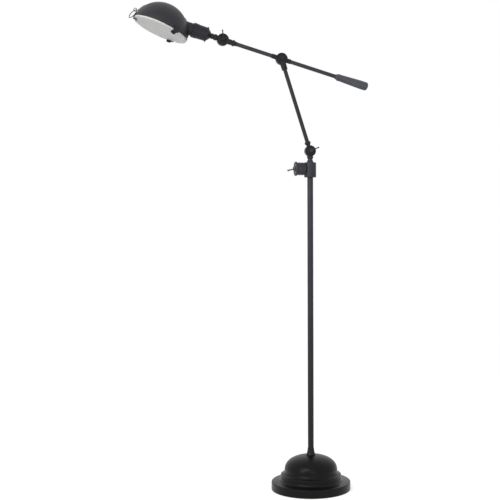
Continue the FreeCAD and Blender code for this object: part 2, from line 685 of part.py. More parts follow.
def swivel_nut():
    foot = HOUSING_TOP - SWIVEL_STEM_LENGTH
    return tube(SWIVEL_NUT_RADIUS, SWIVEL_STEM_RADIUS, foot, foot + SWIVEL_NUT_THICKNESS)


def cheek(radius, side):
    """Round knuckle plate on one side of the joint plane, with a raised rim and a raised boss."""
    sunk = CHEEK_OUTER - FACE_SINK
    rim = radius - RIM_BEAD
    bore = BOLT_RADIUS + BOLT_PLAY
    return facing(turned(rounded([
        (bore, CHEEK_GAP),
        (radius, CHEEK_GAP),
        (radius, CHEEK_OUTER, CHEEK_ROUND),
        (rim, CHEEK_OUTER),
        (rim - FACE_SINK, sunk),
        (FACE_BOSS_RADIUS + FACE_SINK, sunk),
        (FACE_BOSS_RADIUS, CHEEK_OUTER),
        (bore, CHEEK_OUTER),
    ])), side)


def knuckle_half(radius, side, stem):
    """A cheek with its stem, cleared for the other cheek to turn beside it."""
    other_cheek = facing(rod(radius + SWEEP_GAP, -DEEP, CHEEK_GAP), side)
    bolt_hole = facing(rod(BOLT_RADIUS + BOLT_PLAY, -DEEP, DEEP), side)
    return cheek(radius, side).fuse(stem).cut(other_cheek).cut(bolt_hole)


def friction_washer(origin):
    half = CHEEK_GAP - FACE_GAP
    washer = tube(FRICTION_WASHER_RADIUS, BOLT_RADIUS + SLIP, -half, half)
    return placed(facing(washer, 1), origin, 0)


def pivot_bolt(origin):
    """Socket-head bolt through both cheeks; the thumb lever screws on its far end."""
    seat = CHEEK_OUTER + FACE_GAP
    head = turned(rounded([
        (0, seat),
        (BOLT_HEAD_RADIUS, seat),
        (BOLT_HEAD_RADIUS, seat + BOLT_HEAD_HEIGHT, CHEEK_ROUND),
        (0, seat + BOLT_HEAD_HEIGHT),
    ]))
    top = seat + BOLT_HEAD_HEIGHT
    head = head.cut(hexagon(BOLT_HEX_WIDTH, top - BOLT_HEX_DEPTH, top))
    shank = rod(BOLT_RADIUS, -(CHEEK_OUTER + LEVER_HUB_LENGTH - BOLT_RADIUS), seat)
    return placed(facing(head.fuse(shank), 1), origin, 0)


def thumb_lever(origin, lean):
    """Hub on the bolt's end with one tapered arm and a ball tip."""
    seat = CHEEK_OUTER + FACE_GAP
    hub_end = seat + LEVER_HUB_LENGTH
    hub = turned(rounded([
        (0, seat),
        (LEVER_HUB_RADIUS, seat, 0.6),
        (LEVER_HUB_RADIUS, hub_end, 2.4),
        (0, hub_end),
    ]))
    hub = facing(hub, -1)
    arm = Part.makeCone(LEVER_ROOT_RADIUS, LEVER_NECK_RADIUS, LEVER_REACH, V(0, -LEVER_LINE, 0), UP)
    ball = Part.makeSphere(LEVER_BALL_RADIUS, V(0, -LEVER_LINE, LEVER_REACH))
    bolt_hole = facing(rod(BOLT_RADIUS + BOLT_PLAY, 0, hub_end - BOLT_RADIUS + FACE_GAP), -1)
    return placed(hub.fuse(arm).fuse(ball).cut(bolt_hole), origin, lean)


def swivel_knuckle():
    """Fixed half of the first knuckle, with a bead above the cone."""
    start = STEM_START * LOW_CHEEK_RADIUS
    end = KNUCKLE_STEM_END
    radius = SWIVEL_KNUCKLE_STEM_RADIUS
    bead = SWIVEL_KNUCKLE_BEAD_RADIUS
    stem = turned(rounded([
        (0, start),
        (radius, start, 3.0),
        (radius, end - 6.4),
        (bead, end - 5.6, 0.5),
        (bead, end - 2.6, 0.5),
        (CONE_WAIST_RADIUS, end),
        (SWIVEL_KNUCKLE_SPIGOT, end),
        (SWIVEL_KNUCKLE_SPIGOT, end + SWIVEL_KNUCKLE_SPIGOT),
        (0, end + SWIVEL_KNUCKLE_SPIGOT),
    ]))
    stem = stem.cut(rod(SWIVEL_WIRE_BORE, end, end + DEEP))
    half = knuckle_half(LOW_CHEEK_RADIUS, 1, placed(stem, ORIGIN, 180))
    return placed(half, LOW_PIVOT, 0)


# ================================================================== lower arm
def spigot(start):
    """Plug that a rod's end slips over."""
    return rod(SPIGOT_RADIUS, start, start + SPIGOT_LENGTH)


def low_arm_knuckle():
    start = STEM_START * LOW_CHEEK_RADIUS
    stem = turned(rounded([
        (0, start),
        (LOWER_NECK_RADIUS + 1.2, start, 2.4),
        (LOWER_NECK_RADIUS, LOWER_NECK_END - 4.0),
        (LOWER_NECK_RADIUS, LOWER_NECK_END),
        (0, LOWER_NECK_END),
    ]))
    half = knuckle_half(LOW_CHEEK_RADIUS, -1, stem.fuse(spigot(LOWER_NECK_END)))
    return placed(half, LOW_PIVOT, LOWER_LEAN)


def ferrule(start, length, radius):
    return turned(rounded([
        (FERRULE_BORE, start),
        (radius, start, FERRULE_ROUND),
        (radius, start + length, FERRULE_ROUND),
        (FERRULE_BORE, start + length),
    ]))


def lower_arm_tube():
    bar = tube(ROD_RADIUS, ROD_BORE, LOWER_NECK_END, LOWER_ARM_LENGTH - MID_STEM_END)
    return placed(bar, LOW_PIVOT, LOWER_LEAN)


def lower_arm_ferrules():
    foot = ferrule(LOWER_NECK_END, LOWER_FERRULE_LENGTH, FERRULE_RADIUS)
    head = ferrule(MID_STEM_END, MID_FERRULE_LENGTH, FERRULE_RADIUS)
    return Part.makeCompound([placed(foot, LOW_PIVOT, LOWER_LEAN), placed(head, MID_PIVOT, LOWER_LEAN + 180)])


def mid_arm_knuckle():
    """Upper end of the lower arm: its half of the middle knuckle."""
    start = STEM_START * CHEEK_RADIUS
    groove = MID_STEM_END - MID_GROOVE
    stem = turned(rounded([
        (0, start),
        (MID_STEM_RADIUS, start, 3.0),
        (MID_STEM_RADIUS, groove, 0.5),
        (MID_STEM_RADIUS - MID_GROOVE, groove),
        (MID_STEM_RADIUS - MID_GROOVE, MID_STEM_END),
        (0, MID_STEM_END),
    ]))
    half = knuckle_half(CHEEK_RADIUS, -1, stem.fuse(spigot(MID_STEM_END)))
    return placed(half, MID_PIVOT, LOWER_LEAN + 180)


# ================================================================== balance arm
def balance_hub():
    """Half of the middle knuckle with a boss for the front rod and one for the rear rod."""
    start = STEM_START * CHEEK_RADIUS

    def boss(end):
        shape = turned(rounded([
            (0, start),
            (HUB_BOSS_RADIUS, start, 2.0),
            (HUB_BOSS_RADIUS, end, 0.8),
            (0, end),
        ]))
        return shape.fuse(spigot(end))

    bosses = boss(HUB_FRONT_END).fuse(placed(boss(HUB_REAR_END), ORIGIN, 180))
    return placed(knuckle_half(CHEEK_RADIUS, 1, bosses), MID_PIVOT, FRONT_LEAN)


def front_rod():
    bar = tube(ROD_RADIUS, ROD_BORE, HUB_FRONT_END, FRONT_ARM_LENGTH - HEAD_STEM_END)
    return placed(bar, MID_PIVOT, FRONT_LEAN)


def rear_rod():
    bar = tube(ROD_RADIUS, ROD_BORE, HUB_REAR_END, COUNTERWEIGHT_START + SPIGOT_LENGTH)
    return placed(bar, MID_PIVOT, REAR_LEAN)


def head_arm_knuckle():
    """Front end of the balance arm: its half of the head knuckle."""
    start = STEM_START * CHEEK_RADIUS
    groove = HEAD_STEM_END - 2.4
    stem = turned(rounded([
        (0, start),
        (HEAD_STEM_RADIUS, start, 3.0),
        (HEAD_STEM_RADIUS, groove, 0.5),
        (HEAD_STEM_RADIUS - MID_GROOVE, groove),
        (HEAD_STEM_RADIUS - MID_GROOVE, HEAD_STEM_END),
        (0, HEAD_STEM_END),
    ]))
    half = knuckle_half(CHEEK_RADIUS, -1, stem.fuse(spigot(HEAD_STEM_END)))
    return placed(half, HEAD_PIVOT, REAR_LEAN)


def front_rod_ferrule():
    """Ring with a taper that dies into the rod."""
    ring_end = HEAD_STEM_END + HEAD_FERRULE_LENGTH
    shape = turned(rounded([
        (FERRULE_BORE, HEAD_STEM_END),
        (HEAD_FERRULE_RADIUS, HEAD_STEM_END, FERRULE_ROUND),
        (HEAD_FERRULE_RADIUS, ring_end, FERRULE_ROUND),
        (FERRULE_BORE + 1.2, ring_end + 1.0, 1.0),
        (FERRULE_BORE + 0.4, ring_end + HEAD_FERRULE_TAPER),
        (FERRULE_BORE, ring_end + HEAD_FERRULE_TAPER),
    ]))
    return placed(shape, HEAD_PIVOT, REAR_LEAN)


def counterweight_collar():
    bead_start = COUNTERWEIGHT_START - COLLAR_BEAD_WIDTH
    shape = turned(rounded([
        (FERRULE_BORE, COLLAR_START),
        (COLLAR_FRONT_RADIUS, COLLAR_START, 0.6),
        (WEIGHT_FRONT_RADIUS - 1.0, bead_start),
        (COLLAR_BEAD_RADIUS, bead_start, 1.4),
        (COLLAR_BEAD_RADIUS, COUNTERWEIGHT_START, 1.4),
        (FERRULE_BORE, COUNTERWEIGHT_START),
    ]))
    return placed(shape, MID_PIVOT, REAR_LEAN)


def counterweight():
    """Tapered steel bar screwed on the rear rod's end."""
    back = COUNTERWEIGHT_START + WEIGHT_BODY_LENGTH
    bar = turned(rounded([
        (0, COUNTERWEIGHT_START),
        (WEIGHT_FRONT_RADIUS, COUNTERWEIGHT_START, SEAM_DEPTH),
        (WEIGHT_BACK_RADIUS, back, SEAM_DEPTH),
        (0, back),
    ]))
    socket = rod(FERRULE_BORE, COUNTERWEIGHT_START, COUNTERWEIGHT_START + SPIGOT_LENGTH)
    return placed(bar.cut(socket), MID_PIVOT, REAR_LEAN)


def counterweight_end_cap():
    back = COUNTERWEIGHT_START + WEIGHT_BODY_LENGTH
    cap = turned(rounded([
        (0, back),
        (WEIGHT_BACK_RADIUS, back, SEAM_DEPTH),
        (WEIGHT_BACK_RADIUS, REAR_ARM_LENGTH, END_CAP_ROUND),
        (0, REAR_ARM_LENGTH),
    ]))
    return placed(cap, MID_PIVOT, REAR_LEAN)


# ================================================================== head
def at_head(shape):
    """Shapes drawn about Z, put on the socket axis with their zero at the head pivot."""
    return placed(shape, HEAD_PIVOT, HEAD_LEAN)


def head_knuckle():
    """Head half of the last knuckle, with a bead and the shaft that the socket turns on."""
    start = STEM_START * CHEEK_RADIUS
    bead_start = CHEEK_RADIUS + 0.9
    groove_end = RING_BEAD_START - FACE_GAP
    stem = turned(rounded([
        (0, start),
        (RING_BEAD_RADIUS, start, 2.4),
        (RING_BEAD_RADIUS - 0.8, bead_start),
        (HEAD_BEAD_RADIUS, bead_start, 2.2),
        (HEAD_BEAD_RADIUS, HEAD_BEAD_END, 2.2),
        (RING_BEAD_RADIUS - 1.0, HEAD_BEAD_END),
        (RING_BEAD_RADIUS - 1.0, groove_end),
        (HEAD_SHAFT_RADIUS, groove_end),
        (HEAD_SHAFT_RADIUS, groove_end + HEAD_SHAFT_LENGTH),
        (0, groove_end + HEAD_SHAFT_LENGTH),
    ]))
    stem = stem.cut(rod(HEAD_WIRE_BORE, CHEEK_RADIUS, DEEP))
    return at_head(knuckle_half(CHEEK_RADIUS, 1, stem))


def neck_ring():
    """Second bead of the neck; it turns with the socket."""
    bore = HEAD_SHAFT_RADIUS + BOLT_PLAY
    return at_head(turned(rounded([
        (bore, RING_BEAD_START),
        (RING_BEAD_RADIUS, RING_BEAD_START, 2.0),
        (RING_BEAD_RADIUS, RING_BEAD_END, 2.0),
        (RING_BEAD_RADIUS - 1.6, RING_BEAD_END),
        (RING_BEAD_RADIUS - 1.6, CAP_CONE_START),
        (bore, CAP_CONE_START),
    ])))


def socket_cap():
    """Conical cap with a rim that the socket cup plugs into."""
    bore = HEAD_SHAFT_RADIUS + BOLT_PLAY
    nut_floor = CAP_CONE_START + SOCKET_WALL * 3
    recess = CAP_FLANGE_END - 2 * SOCKET_WALL
    shape = turned(rounded([
        (bore, CAP_CONE_START),
        (CAP_CONE_RADIUS, CAP_CONE_START, 0.6),
        (CAP_FACE_RADIUS, CAP_FLANGE_START),
        (CAP_FLANGE_RADIUS, CAP_FLANGE_START, FLANGE_ROUND),
        (CAP_FLANGE_RADIUS, CAP_FLANGE_END, FLANGE_ROUND),
        (SOCKET_BACK_RADIUS + SLIP, CAP_FLANGE_END),
        (SOCKET_BACK_RADIUS + SLIP, recess),
        (SOCKET_BACK_RADIUS - 2 * SOCKET_WALL, recess),
        (LAMPHOLDER_FOOT, nut_floor),
        (bore, nut_floor),
    ]))
    return at_head(shape.cut(cap_screw_group()))


def cap_screw_group():
    """Two screws across the cap's rim, above and below the socket axis."""
    middle = (CAP_FLANGE_START + CAP_FLANGE_END) / 2
    shank = CAP_FLANGE_RADIUS - SOCKET_BACK_RADIUS - SLIP
    screw = button_head(SCREW_HEAD_RADIUS, SCREW_HEAD_HEIGHT, SCREW_SHANK_RADIUS, shank)
    screw.rotate(ORIGIN, ALONG_Y, 90)
    screw.translate(V(CAP_FLANGE_RADIUS, 0, middle))
    return around(screw, (0, 180))


def head_nut():
    """Nut that keeps the socket on the neck's shaft."""
    floor = CAP_CONE_START + SOCKET_WALL * 3 + FACE_GAP
    return at_head(tube(LAMPHOLDER_FOOT - 1.0, HEAD_SHAFT_RADIUS, floor, floor + SWIVEL_NUT_THICKNESS))


def socket_cup():
    """Slightly flared cup with a band at its front and a lip turned in around the fitter."""
    start = CAP_FLANGE_END - 2 * SOCKET_WALL
    flare = (SOCKET_FRONT_RADIUS - SOCKET_BACK_RADIUS) / (SOCKET_END - start)
    at_band = SOCKET_BACK_RADIUS + flare * (SOCKET_BAND_START - start)
    band = at_band + SOCKET_BAND_HEIGHT
    lip = FITTER_RADIUS + SLIP
    shape = turned(rounded([
        (SOCKET_BACK_RADIUS - SOCKET_WALL, start),
        (SOCKET_BACK_RADIUS, start),
        (SOCKET_BACK_RADIUS, CAP_FLANGE_END),
        (at_band, SOCKET_BAND_START - 1.0),
        (band, SOCKET_BAND_START, 0.4),
        (SOCKET_FRONT_RADIUS + SOCKET_BAND_HEIGHT, SOCKET_END, 1.1),
        (lip, SOCKET_END),
        (lip, SOCKET_END - SOCKET_WALL),
        (SOCKET_FRONT_RADIUS - SOCKET_WALL, SOCKET_END - SOCKET_WALL),
        (at_band - SOCKET_WALL, SOCKET_BAND_START),
    ]))
    return at_head(shape.cut(socket_screw_group()))


def socket_screw_group():
    """Three screws around the band that hold the fitter."""
    outside = SOCKET_FRONT_RADIUS + SOCKET_BAND_HEIGHT
    screw = button_head(SCREW_HEAD_RADIUS, SCREW_HEAD_HEIGHT, SCREW_SHANK_RADIUS,
                        outside - FITTER_RADIUS - SLIP)
    screw.rotate(ORIGIN, ALONG_Y, 90)
    screw.translate(V(outside, 0, SOCKET_END - SOCKET_SCREW_INSET))
    return around(screw, (0, 120, 240))


def socket_screws():
    return at_head(Part.makeCompound(cap_screw_group().Solids + socket_screw_group().Solids))


def lampholder():
    """Porcelain lampholder that stands on the cap."""
    foot = CAP_FLANGE_END - 2 * SOCKET_WALL
    shape = turned(rounded([
        (LAMPHOLDER_FOOT, foot),
        (LAMPHOLDER_RADIUS, foot, 1.5),
        (LAMPHOLDER_RADIUS, LAMPHOLDER_END, 1.5),
        (BULB_RADIUS + SLIP, LAMPHOLDER_END),
        (BULB_RADIUS + SLIP, LAMPHOLDER_END - BULB_CONTACT),
        (BULB_BASE_RADIUS + SLIP, LAMPHOLDER_END - BULB_CONTACT),
        (BULB_BASE_RADIUS + SLIP, LAMPHOLDER_END - BULB_CONTACT - BULB_BASE_LENGTH),
        (LAMPHOLDER_FOOT, LAMPHOLDER_END - BULB_CONTACT - BULB_BASE_LENGTH),
    ]))
    return at_head(shape)


def bulb_base():
    end = LAMPHOLDER_END - BULB_CONTACT
    return at_head(turned(rounded([
        (0, end - BULB_BASE_LENGTH),
        (BULB_BASE_RADIUS, end - BULB_BASE_LENGTH, 3.0),
        (BULB_BASE_RADIUS, end),
        (0, end),
    ])))


def bulb_glass():
    """Thin tubular glass with a round end, open where the base is cemented on."""
    start = LAMPHOLDER_END - BULB_CONTACT
    end = LAMPHOLDER_END + BULB_LENGTH
    inner = BULB_RADIUS - BULB_WALL
    end_round = BULB_RADIUS * BULB_END_ROUND
    return at_head(turned(rounded([
        (inner, start),
        (BULB_RADIUS, start),
        (BULB_RADIUS, end, end_round),
        (0, end),
        (0, end - BULB_WALL),
        (inner, end - BULB_WALL, end_round - BULB_WALL),
    ])))


def shade_fitter():
    """Collar from the socket cup to the shade, with a saddle pressed to the dome's curve."""
    inner_end = SOCKET_END - SOCKET_WALL - FACE_GAP
    collar = rod(FITTER_RADIUS, SOCKET_END - FITTER_START, SHADE_REACH)
    saddle = rod(FITTER_SADDLE_RADIUS, inner_end, SHADE_REACH)
    bore = rod(FITTER_RADIUS - FITTER_WALL, 0, SHADE_REACH)
    outside = Part.makeSphere(SHADE_RADIUS + FITTER_SADDLE_THICKNESS, SHADE_CENTRE)
    dome = Part.makeSphere(SHADE_RADIUS, SHADE_CENTRE)
    fitter = at_head(collar).fuse(at_head(saddle).common(outside))
    return fitter.cut(dome).cut(at_head(bore)).cut(shade_rivet_shanks())


# ================================================================== shade
def at_shade(shape):
    """Shapes drawn about Z, put at the shade's centre with +X towards the socket."""
    return placed(shape, SHADE_CENTRE, MOUTH_SLOPE)


def seated(shape, seat, outward):
    """The shape stood on a seat with its Z axis outward, in the shade's own axes."""
    moved = shape.copy()
    moved.Placement = FreeCAD.Placement(seat, FreeCAD.Rotation(UP, outward))
    return moved


def shade_direction(turn, rise):
    """Unit vector from the dome's centre: turn about its axis from the socket side, rise above the level."""
    turn = math.radians(turn)
    rise = math.radians(rise)
    return V(math.cos(rise) * math.cos(turn), math.cos(rise) * math.sin(turn), math.sin(rise))


def clip_turns():
    """Clips stand evenly around the mouth, the first one opposite the socket."""
    return [180 + 360 * k / CLIP_COUNT for k in range(CLIP_COUNT)]


def rivet_places():
    """Seat, outward direction and grip over the dome of each rivet, in the shade's own axes."""
    clip_height = MOUTH_RISE + CLIP_RISE * 0.62
    clip_face = MOUTH_RADIUS + SEAT_GAP / 2 + CLIP_WALL
    clip_grip = clip_face - math.sqrt(SHADE_RADIUS ** 2 - clip_height ** 2)
    places = []
    for turn in clip_turns():
        outward = shade_direction(turn, 0)
        places.append((outward * clip_face + UP * clip_height, outward, clip_grip))
    lug_grip = FACE_GAP + LUG_WALL
    for rise in LUG_RIVETS:
        outward = shade_direction(180, rise)
        places.append((outward * (SHADE_RADIUS + lug_grip), outward, lug_grip))
    ring = (FITTER_RADIUS + FITTER_SADDLE_RADIUS) / 2
    axis = direction(HEAD_LEAN - MOUTH_SLOPE)
    across = direction(HEAD_LEAN - MOUTH_SLOPE + 90)
    for turn in (0, 120, 240):
        turn = math.radians(turn)
        offset = across * (SHADE_DROP + ring * math.cos(turn)) + ALONG_Y * (ring * math.sin(turn))
        back = math.sqrt(SHADE_RADIUS ** 2 - offset.Length ** 2)
        outward = (offset - axis * back).normalize()
        places.append((outward * (SHADE_RADIUS + FITTER_SADDLE_THICKNESS), outward, FITTER_SADDLE_THICKNESS))
    return places


def shade_rivet_shanks():
    shanks = [seated(rod(SCREW_SHANK_RADIUS, -grip - HEM_WALL, 0), seat, outward)
              for seat, outward, grip in rivet_places()]
    return at_shade(Part.makeCompound(shanks))


def shade_rivets():
    rivets = []
    for seat, outward, grip in rivet_places():
        rivet = button_head(RIVET_RADIUS, RIVET_HEIGHT, SCREW_SHANK_RADIUS, grip + SHADE_WALL)
        rivets.append(seated(rivet, seat, outward))
    return at_shade(Part.makeCompound(rivets))


def shade():
    """Spun dome, a little lower than a hemisphere, with a hemmed edge and a hole for the bulb."""
    inner = SHADE_RADIUS - SHADE_WALL
    edge_turn = (math.asin(MOUTH_RISE / SHADE_RADIUS) + math.radians(90)) / 2
    hem_top = MOUTH_RISE + HEM_HEIGHT
    hem_radius = math.sqrt(inner ** 2 - hem_top ** 2)
    hem_turn = (math.asin(hem_top / inner) + math.radians(90)) / 2
    shell = turned([
        (MOUTH_RADIUS, MOUTH_RISE),
        (SHADE_RADIUS * math.cos(edge_turn), SHADE_RADIUS * math.sin(edge_turn), 0, SHADE_RADIUS),
        (0, inner),
        (inner * math.cos(hem_turn), inner * math.sin(hem_turn), hem_radius, hem_top),
        (MOUTH_RADIUS - HEM_WALL, hem_top),
        (MOUTH_RADIUS - HEM_WALL, MOUTH_RISE),
    ])
    bulb_hole = at_head(rod(FITTER_RADIUS - FITTER_WALL, 0, SHADE_REACH))
    return at_shade(shell).cut(bulb_hole).cut(shade_rivet_shanks())


def lens():
    return at_shade(turned(rounded([
        (0, LENS_FOOT),
        (LENS_RADIUS, LENS_FOOT, 0.8),
        (LENS_RADIUS, LENS_TOP, 0.8),
        (0, LENS_TOP),
    ])))


def lens_clips():
    """Bent strips riveted to the shade's edge, turned in under the glass."""
    inner = MOUTH_RADIUS + SEAT_GAP / 2
    outer = inner + CLIP_WALL
    lip_top = LENS_FOOT - FACE_GAP
    section = outline(rounded([
        (inner, MOUTH_RISE + CLIP_RISE),
        (inner, lip_top),
        (LENS_RADIUS - CLIP_LIP, lip_top),
        (LENS_RADIUS - CLIP_LIP, lip_top - CLIP_WALL),
        (outer, lip_top - CLIP_WALL, CLIP_WALL),
        (outer, MOUTH_RISE + CLIP_RISE),
    ]))
    spread = math.degrees(CLIP_WIDTH / outer)
    clip = Part.Face(section).revolve(ORIGIN, UP, spread)
    clips = around(clip, [turn - spread / 2 for turn in clip_turns()])
    return at_shade(clips).cut(shade_rivet_shanks())


def eye_centre():
    """Centre of the lug's eye in the shade's own axes."""
    return shade_direction(180, EYE_ANGLE) * (SHADE_RADIUS + EYE_STANDOFF)


def ring_lug():
    """Strap bent to the dome, its lower end curled into the eye for the pull ring."""
    inner = SHADE_RADIUS + FACE_GAP
    outer = inner + LUG_WALL
    middle = (LUG_TOP + LUG_BEND) / 2
    corners = []
    for radius, rise in ((inner, LUG_TOP), (inner, middle), (inner, LUG_BEND),
                         (outer, LUG_BEND), (outer, middle), (outer, LUG_TOP)):
        corners.append(shade_direction(180, rise) * radius)
    a, b, c, d, e, f = [(corner.x, corner.z) for corner in corners]
    strap = Part.Face(outline([a, b + c, d, e + f])).extrude(ALONG_Y * LUG_WIDTH)
    strap.translate(ALONG_Y * (-LUG_WIDTH / 2))
    centre = eye_centre()
    eye = tube(EYE_BORE + EYE_WALL, EYE_BORE, -EYE_WIDTH / 2, EYE_WIDTH / 2)
    eye = facing(eye, 1)
    eye.translate(centre)
    start = (corners[2] + corners[3]) * 0.5
    reach = centre - start
    mean = EYE_BORE + EYE_WALL / 2
    swing = math.degrees(math.acos(mean / reach.Length))
    back = FreeCAD.Rotation(ALONG_Y, swing).multVec(reach * -1).normalize()
    touch = centre + back * mean
    along = (touch - start).normalize()
    across = V(-along.z, 0, along.x) * (LUG_WALL / 2)
    root = start - along * (LUG_WALL / 2)
    link_corners = [root - across, touch - across, touch + across, root + across]
    link = Part.Face(Part.makePolygon(link_corners + link_corners[:1])).extrude(ALONG_Y * EYE_WIDTH)
    link.translate(ALONG_Y * (-EYE_WIDTH / 2))
    bore = facing(rod(EYE_BORE, -DEEP, DEEP), 1)
    bore.translate(centre)
    lug = strap.fuse(link).fuse(eye).cut(bore)
    return at_shade(lug).cut(shade_rivet_shanks())


def ring_pivot():
    eye = eye_centre()
    turn = FreeCAD.Rotation(ALONG_Y, MOUTH_SLOPE)
    return SHADE_CENTRE + turn.multVec(eye) - UP * PULL_RING_DROP


def ring_hinge_line():
    yaw = math.radians(RING_YAW)
    return V(-math.sin(yaw), math.cos(yaw), 0)


def ring_hang(swing):
    """Unit vector from the eye to the ring's centre, swung out from the upright."""
    outward = ring_hinge_line().cross(UP) * -1
    return outward * math.sin(swing) - UP * math.cos(swing)


def ring_gap(swing):
    """Least gap between the ring's wire and the dome."""
    hang = ring_hang(swing)
    centre = ring_pivot() + hang * PULL_RING_RADIUS
    gaps = []
    for step in range(RING_STEPS):
        turn = 2 * math.pi * step / RING_STEPS
        wire = centre + (hang * math.cos(turn) + ring_hinge_line() * math.sin(turn)) * PULL_RING_RADIUS
        gaps.append(wire.distanceToPoint(SHADE_CENTRE) - SHADE_RADIUS - PULL_RING_WIRE)
    return min(gaps)


def pull_ring():
    """Wire ring hung in the eye and leaning on the dome."""
    touching = 0
    clear = math.pi / 2
    while clear - touching > TINY:
        swing = (touching + clear) / 2
        if ring_gap(swing) < SEAT_GAP:
            touching = swing
        else:
            clear = swing
    hang = ring_hang(clear)
    centre = ring_pivot() + hang * PULL_RING_RADIUS
    return Part.makeTorus(PULL_RING_RADIUS, PULL_RING_WIRE, centre, ring_hinge_line().cross(hang))


# ================================================================== the lamp
pieces = {
    "base_pad": base_pad(),
    "base_weight": base_weight(),
    "base_cover": base_cover(),
    "base_washer": base_washer(),
    "base_nut": base_nut(),
    "center_nipple": center_nipple(),
    "cord_bushing": cord_bushing(),
    "pole_insert": pole_insert(),
    "pole_tube": pole_tube(),
    "base_neck": base_neck(),
    "switch_housing": switch_housing(),
    "switch_cup": switch_cup(),
    "switch_end_cap": switch_end_cap(),
    "end_cap_screws": end_cap_screws(),
    "switch_body": switch_body(),
    "switch_nut": switch_nut(),
    "switch_toggle": switch_toggle(),
    "neck_cone": neck_cone(),
    "swivel_nut": swivel_nut(),
    "swivel_knuckle": swivel_knuckle(),
    "low_friction_washer": friction_washer(LOW_PIVOT),
    "low_pivot_bolt": pivot_bolt(LOW_PIVOT),
    "low_thumb_lever": thumb_lever(LOW_PIVOT, LOW_LEVER_LEAN),
    "low_arm_knuckle": low_arm_knuckle(),
    "lower_arm_tube": lower_arm_tube(),
    "lower_arm_ferrules": lower_arm_ferrules(),
    "mid_arm_knuckle": mid_arm_knuckle(),
    "mid_friction_washer": friction_washer(MID_PIVOT),
    "mid_pivot_bolt": pivot_bolt(MID_PIVOT),
    "mid_thumb_lever": thumb_lever(MID_PIVOT, MID_LEVER_LEAN),
    "balance_hub": balance_hub(),
    "front_rod": front_rod(),
    "front_rod_ferrule": front_rod_ferrule(),
    "head_arm_knuckle": head_arm_knuckle(),
    "rear_rod": rear_rod(),
    "counterweight_collar": counterweight_collar(),
    "counterweight": counterweight(),
    "counterweight_end_cap": counterweight_end_cap(),
    "head_friction_washer": friction_washer(HEAD_PIVOT),
    "head_pivot_bolt": pivot_bolt(HEAD_PIVOT),
    "head_thumb_lever": thumb_lever(HEAD_PIVOT, HEAD_LEVER_LEAN),
    "head_knuckle": head_knuckle(),
    "head_nut": head_nut(),
    "neck_ring": neck_ring(),
    "socket_cap": socket_cap(),
    "socket_screws": socket_screws(),
    "socket_cup": socket_cup(),
    "lampholder": lampholder(),
    "bulb_base": bulb_base(),
    "bulb_glass": bulb_glass(),
    "shade_fitter": shade_fitter(),
    "shade": shade(),
    "shade_rivets": shade_rivets(),
    "lens": lens(),
    "lens_clips": lens_clips(),
    "ring_lug": ring_lug(),
    "pull_ring": pull_ring(),
}

os.makedirs("parts", exist_ok=True)
for name, shape in pieces.items():
    shape.exportStep(os.path.join("parts", name + ".step"))
    print(name, len(shape.Solids), "solid(s),", round(shape.Volume / 1000, 2), "cm3, valid:", shape.isValid())

for name, point in (("low pivot", LOW_PIVOT), ("mid pivot", MID_PIVOT), ("head pivot", HEAD_PIVOT),
                    ("shade centre", SHADE_CENTRE), ("toggle pivot", toggle_pivot()),
                    ("ring pivot", ring_pivot()), ("ring hinge line", ring_hinge_line()),
                    ("socket axis", direction(HEAD_LEAN))):
    print(name, [round(value, 3) for value in point])
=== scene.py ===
import math

import bmesh
import bpy
from mathutils import Matrix, Vector


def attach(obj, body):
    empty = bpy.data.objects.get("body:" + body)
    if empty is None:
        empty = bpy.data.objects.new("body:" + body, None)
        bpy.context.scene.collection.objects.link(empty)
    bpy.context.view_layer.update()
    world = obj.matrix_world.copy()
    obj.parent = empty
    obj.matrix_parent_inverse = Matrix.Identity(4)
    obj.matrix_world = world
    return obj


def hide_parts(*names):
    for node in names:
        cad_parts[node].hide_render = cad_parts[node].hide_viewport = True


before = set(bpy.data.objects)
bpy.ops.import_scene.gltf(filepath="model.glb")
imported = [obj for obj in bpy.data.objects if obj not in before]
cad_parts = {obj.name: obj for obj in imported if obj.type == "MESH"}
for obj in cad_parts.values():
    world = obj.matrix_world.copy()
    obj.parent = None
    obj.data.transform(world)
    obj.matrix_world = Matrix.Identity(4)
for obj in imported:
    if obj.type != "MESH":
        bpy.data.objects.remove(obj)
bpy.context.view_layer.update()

# Floor lamp with a balanced reading arm. Metres, in the frame of the solids.

# ------------------------------------------------------------------ camera
FRAME_PIXELS = 500
SENSOR_MM = 36.0
FOCAL_PIXELS = 956.0
AXIS_PIXEL = (294.0, 234.2)
CAMERA_PLACE = (-0.744, -2.989, 0.819)
CAMERA_TURN = -13.0         # degrees from +Y
CAMERA_ROLL = -0.14         # degrees

# ------------------------------------------------------------------ places on the lamp
LOW_PIVOT = Vector((0, 0, 1.0868))
MID_PIVOT = Vector((-0.09349, 0, 1.379743))
SHADE_CENTRE = Vector((-0.481362, 0, 1.451374))
SWITCH_CENTRE = Vector((-0.0505, 0, 1.029))
LOWER_LEAN = -17.7          # degrees from +Z towards +X
FRONT_LEAN = -74.3
REAR_LEAN = 105.7
SHADE_LEAN = 23.3
SHADE_RADIUS = 0.0889
SHADE_WALL = 0.0012
CLIP_LIP_RADIUS = 0.0782    # inner end of the clips' lips, from the shade's axis
CLIP_LIP_FOOT = 0.0017      # underside of the lips above the dome's centre
CLIP_TURNS = (180.0, 300.0, 60.0)
TAB_SPREAD = 12.5           # degrees of arc
TAB_DROP = 0.0066
TAB_WALL = 0.0012
NUT_TEETH = 36
NUT_OUTER = 0.0086
NUT_INNER = 0.00602
NUT_THICKNESS = 0.0034
TOOTH_DEPTH = 0.0005

# ------------------------------------------------------------------ light
AMBIENT = 0.5               # world's strength on the object
FLOOR_COLOUR = 0.8
FLOOR_GLOW = 0.6            # floor's own white towards the camera
FLOOR_REACH = 15.0


def turn(lean):
    """Turn about Y that leans +Z towards +X."""
    return Matrix.Rotation(math.radians(lean), 3, "Y")


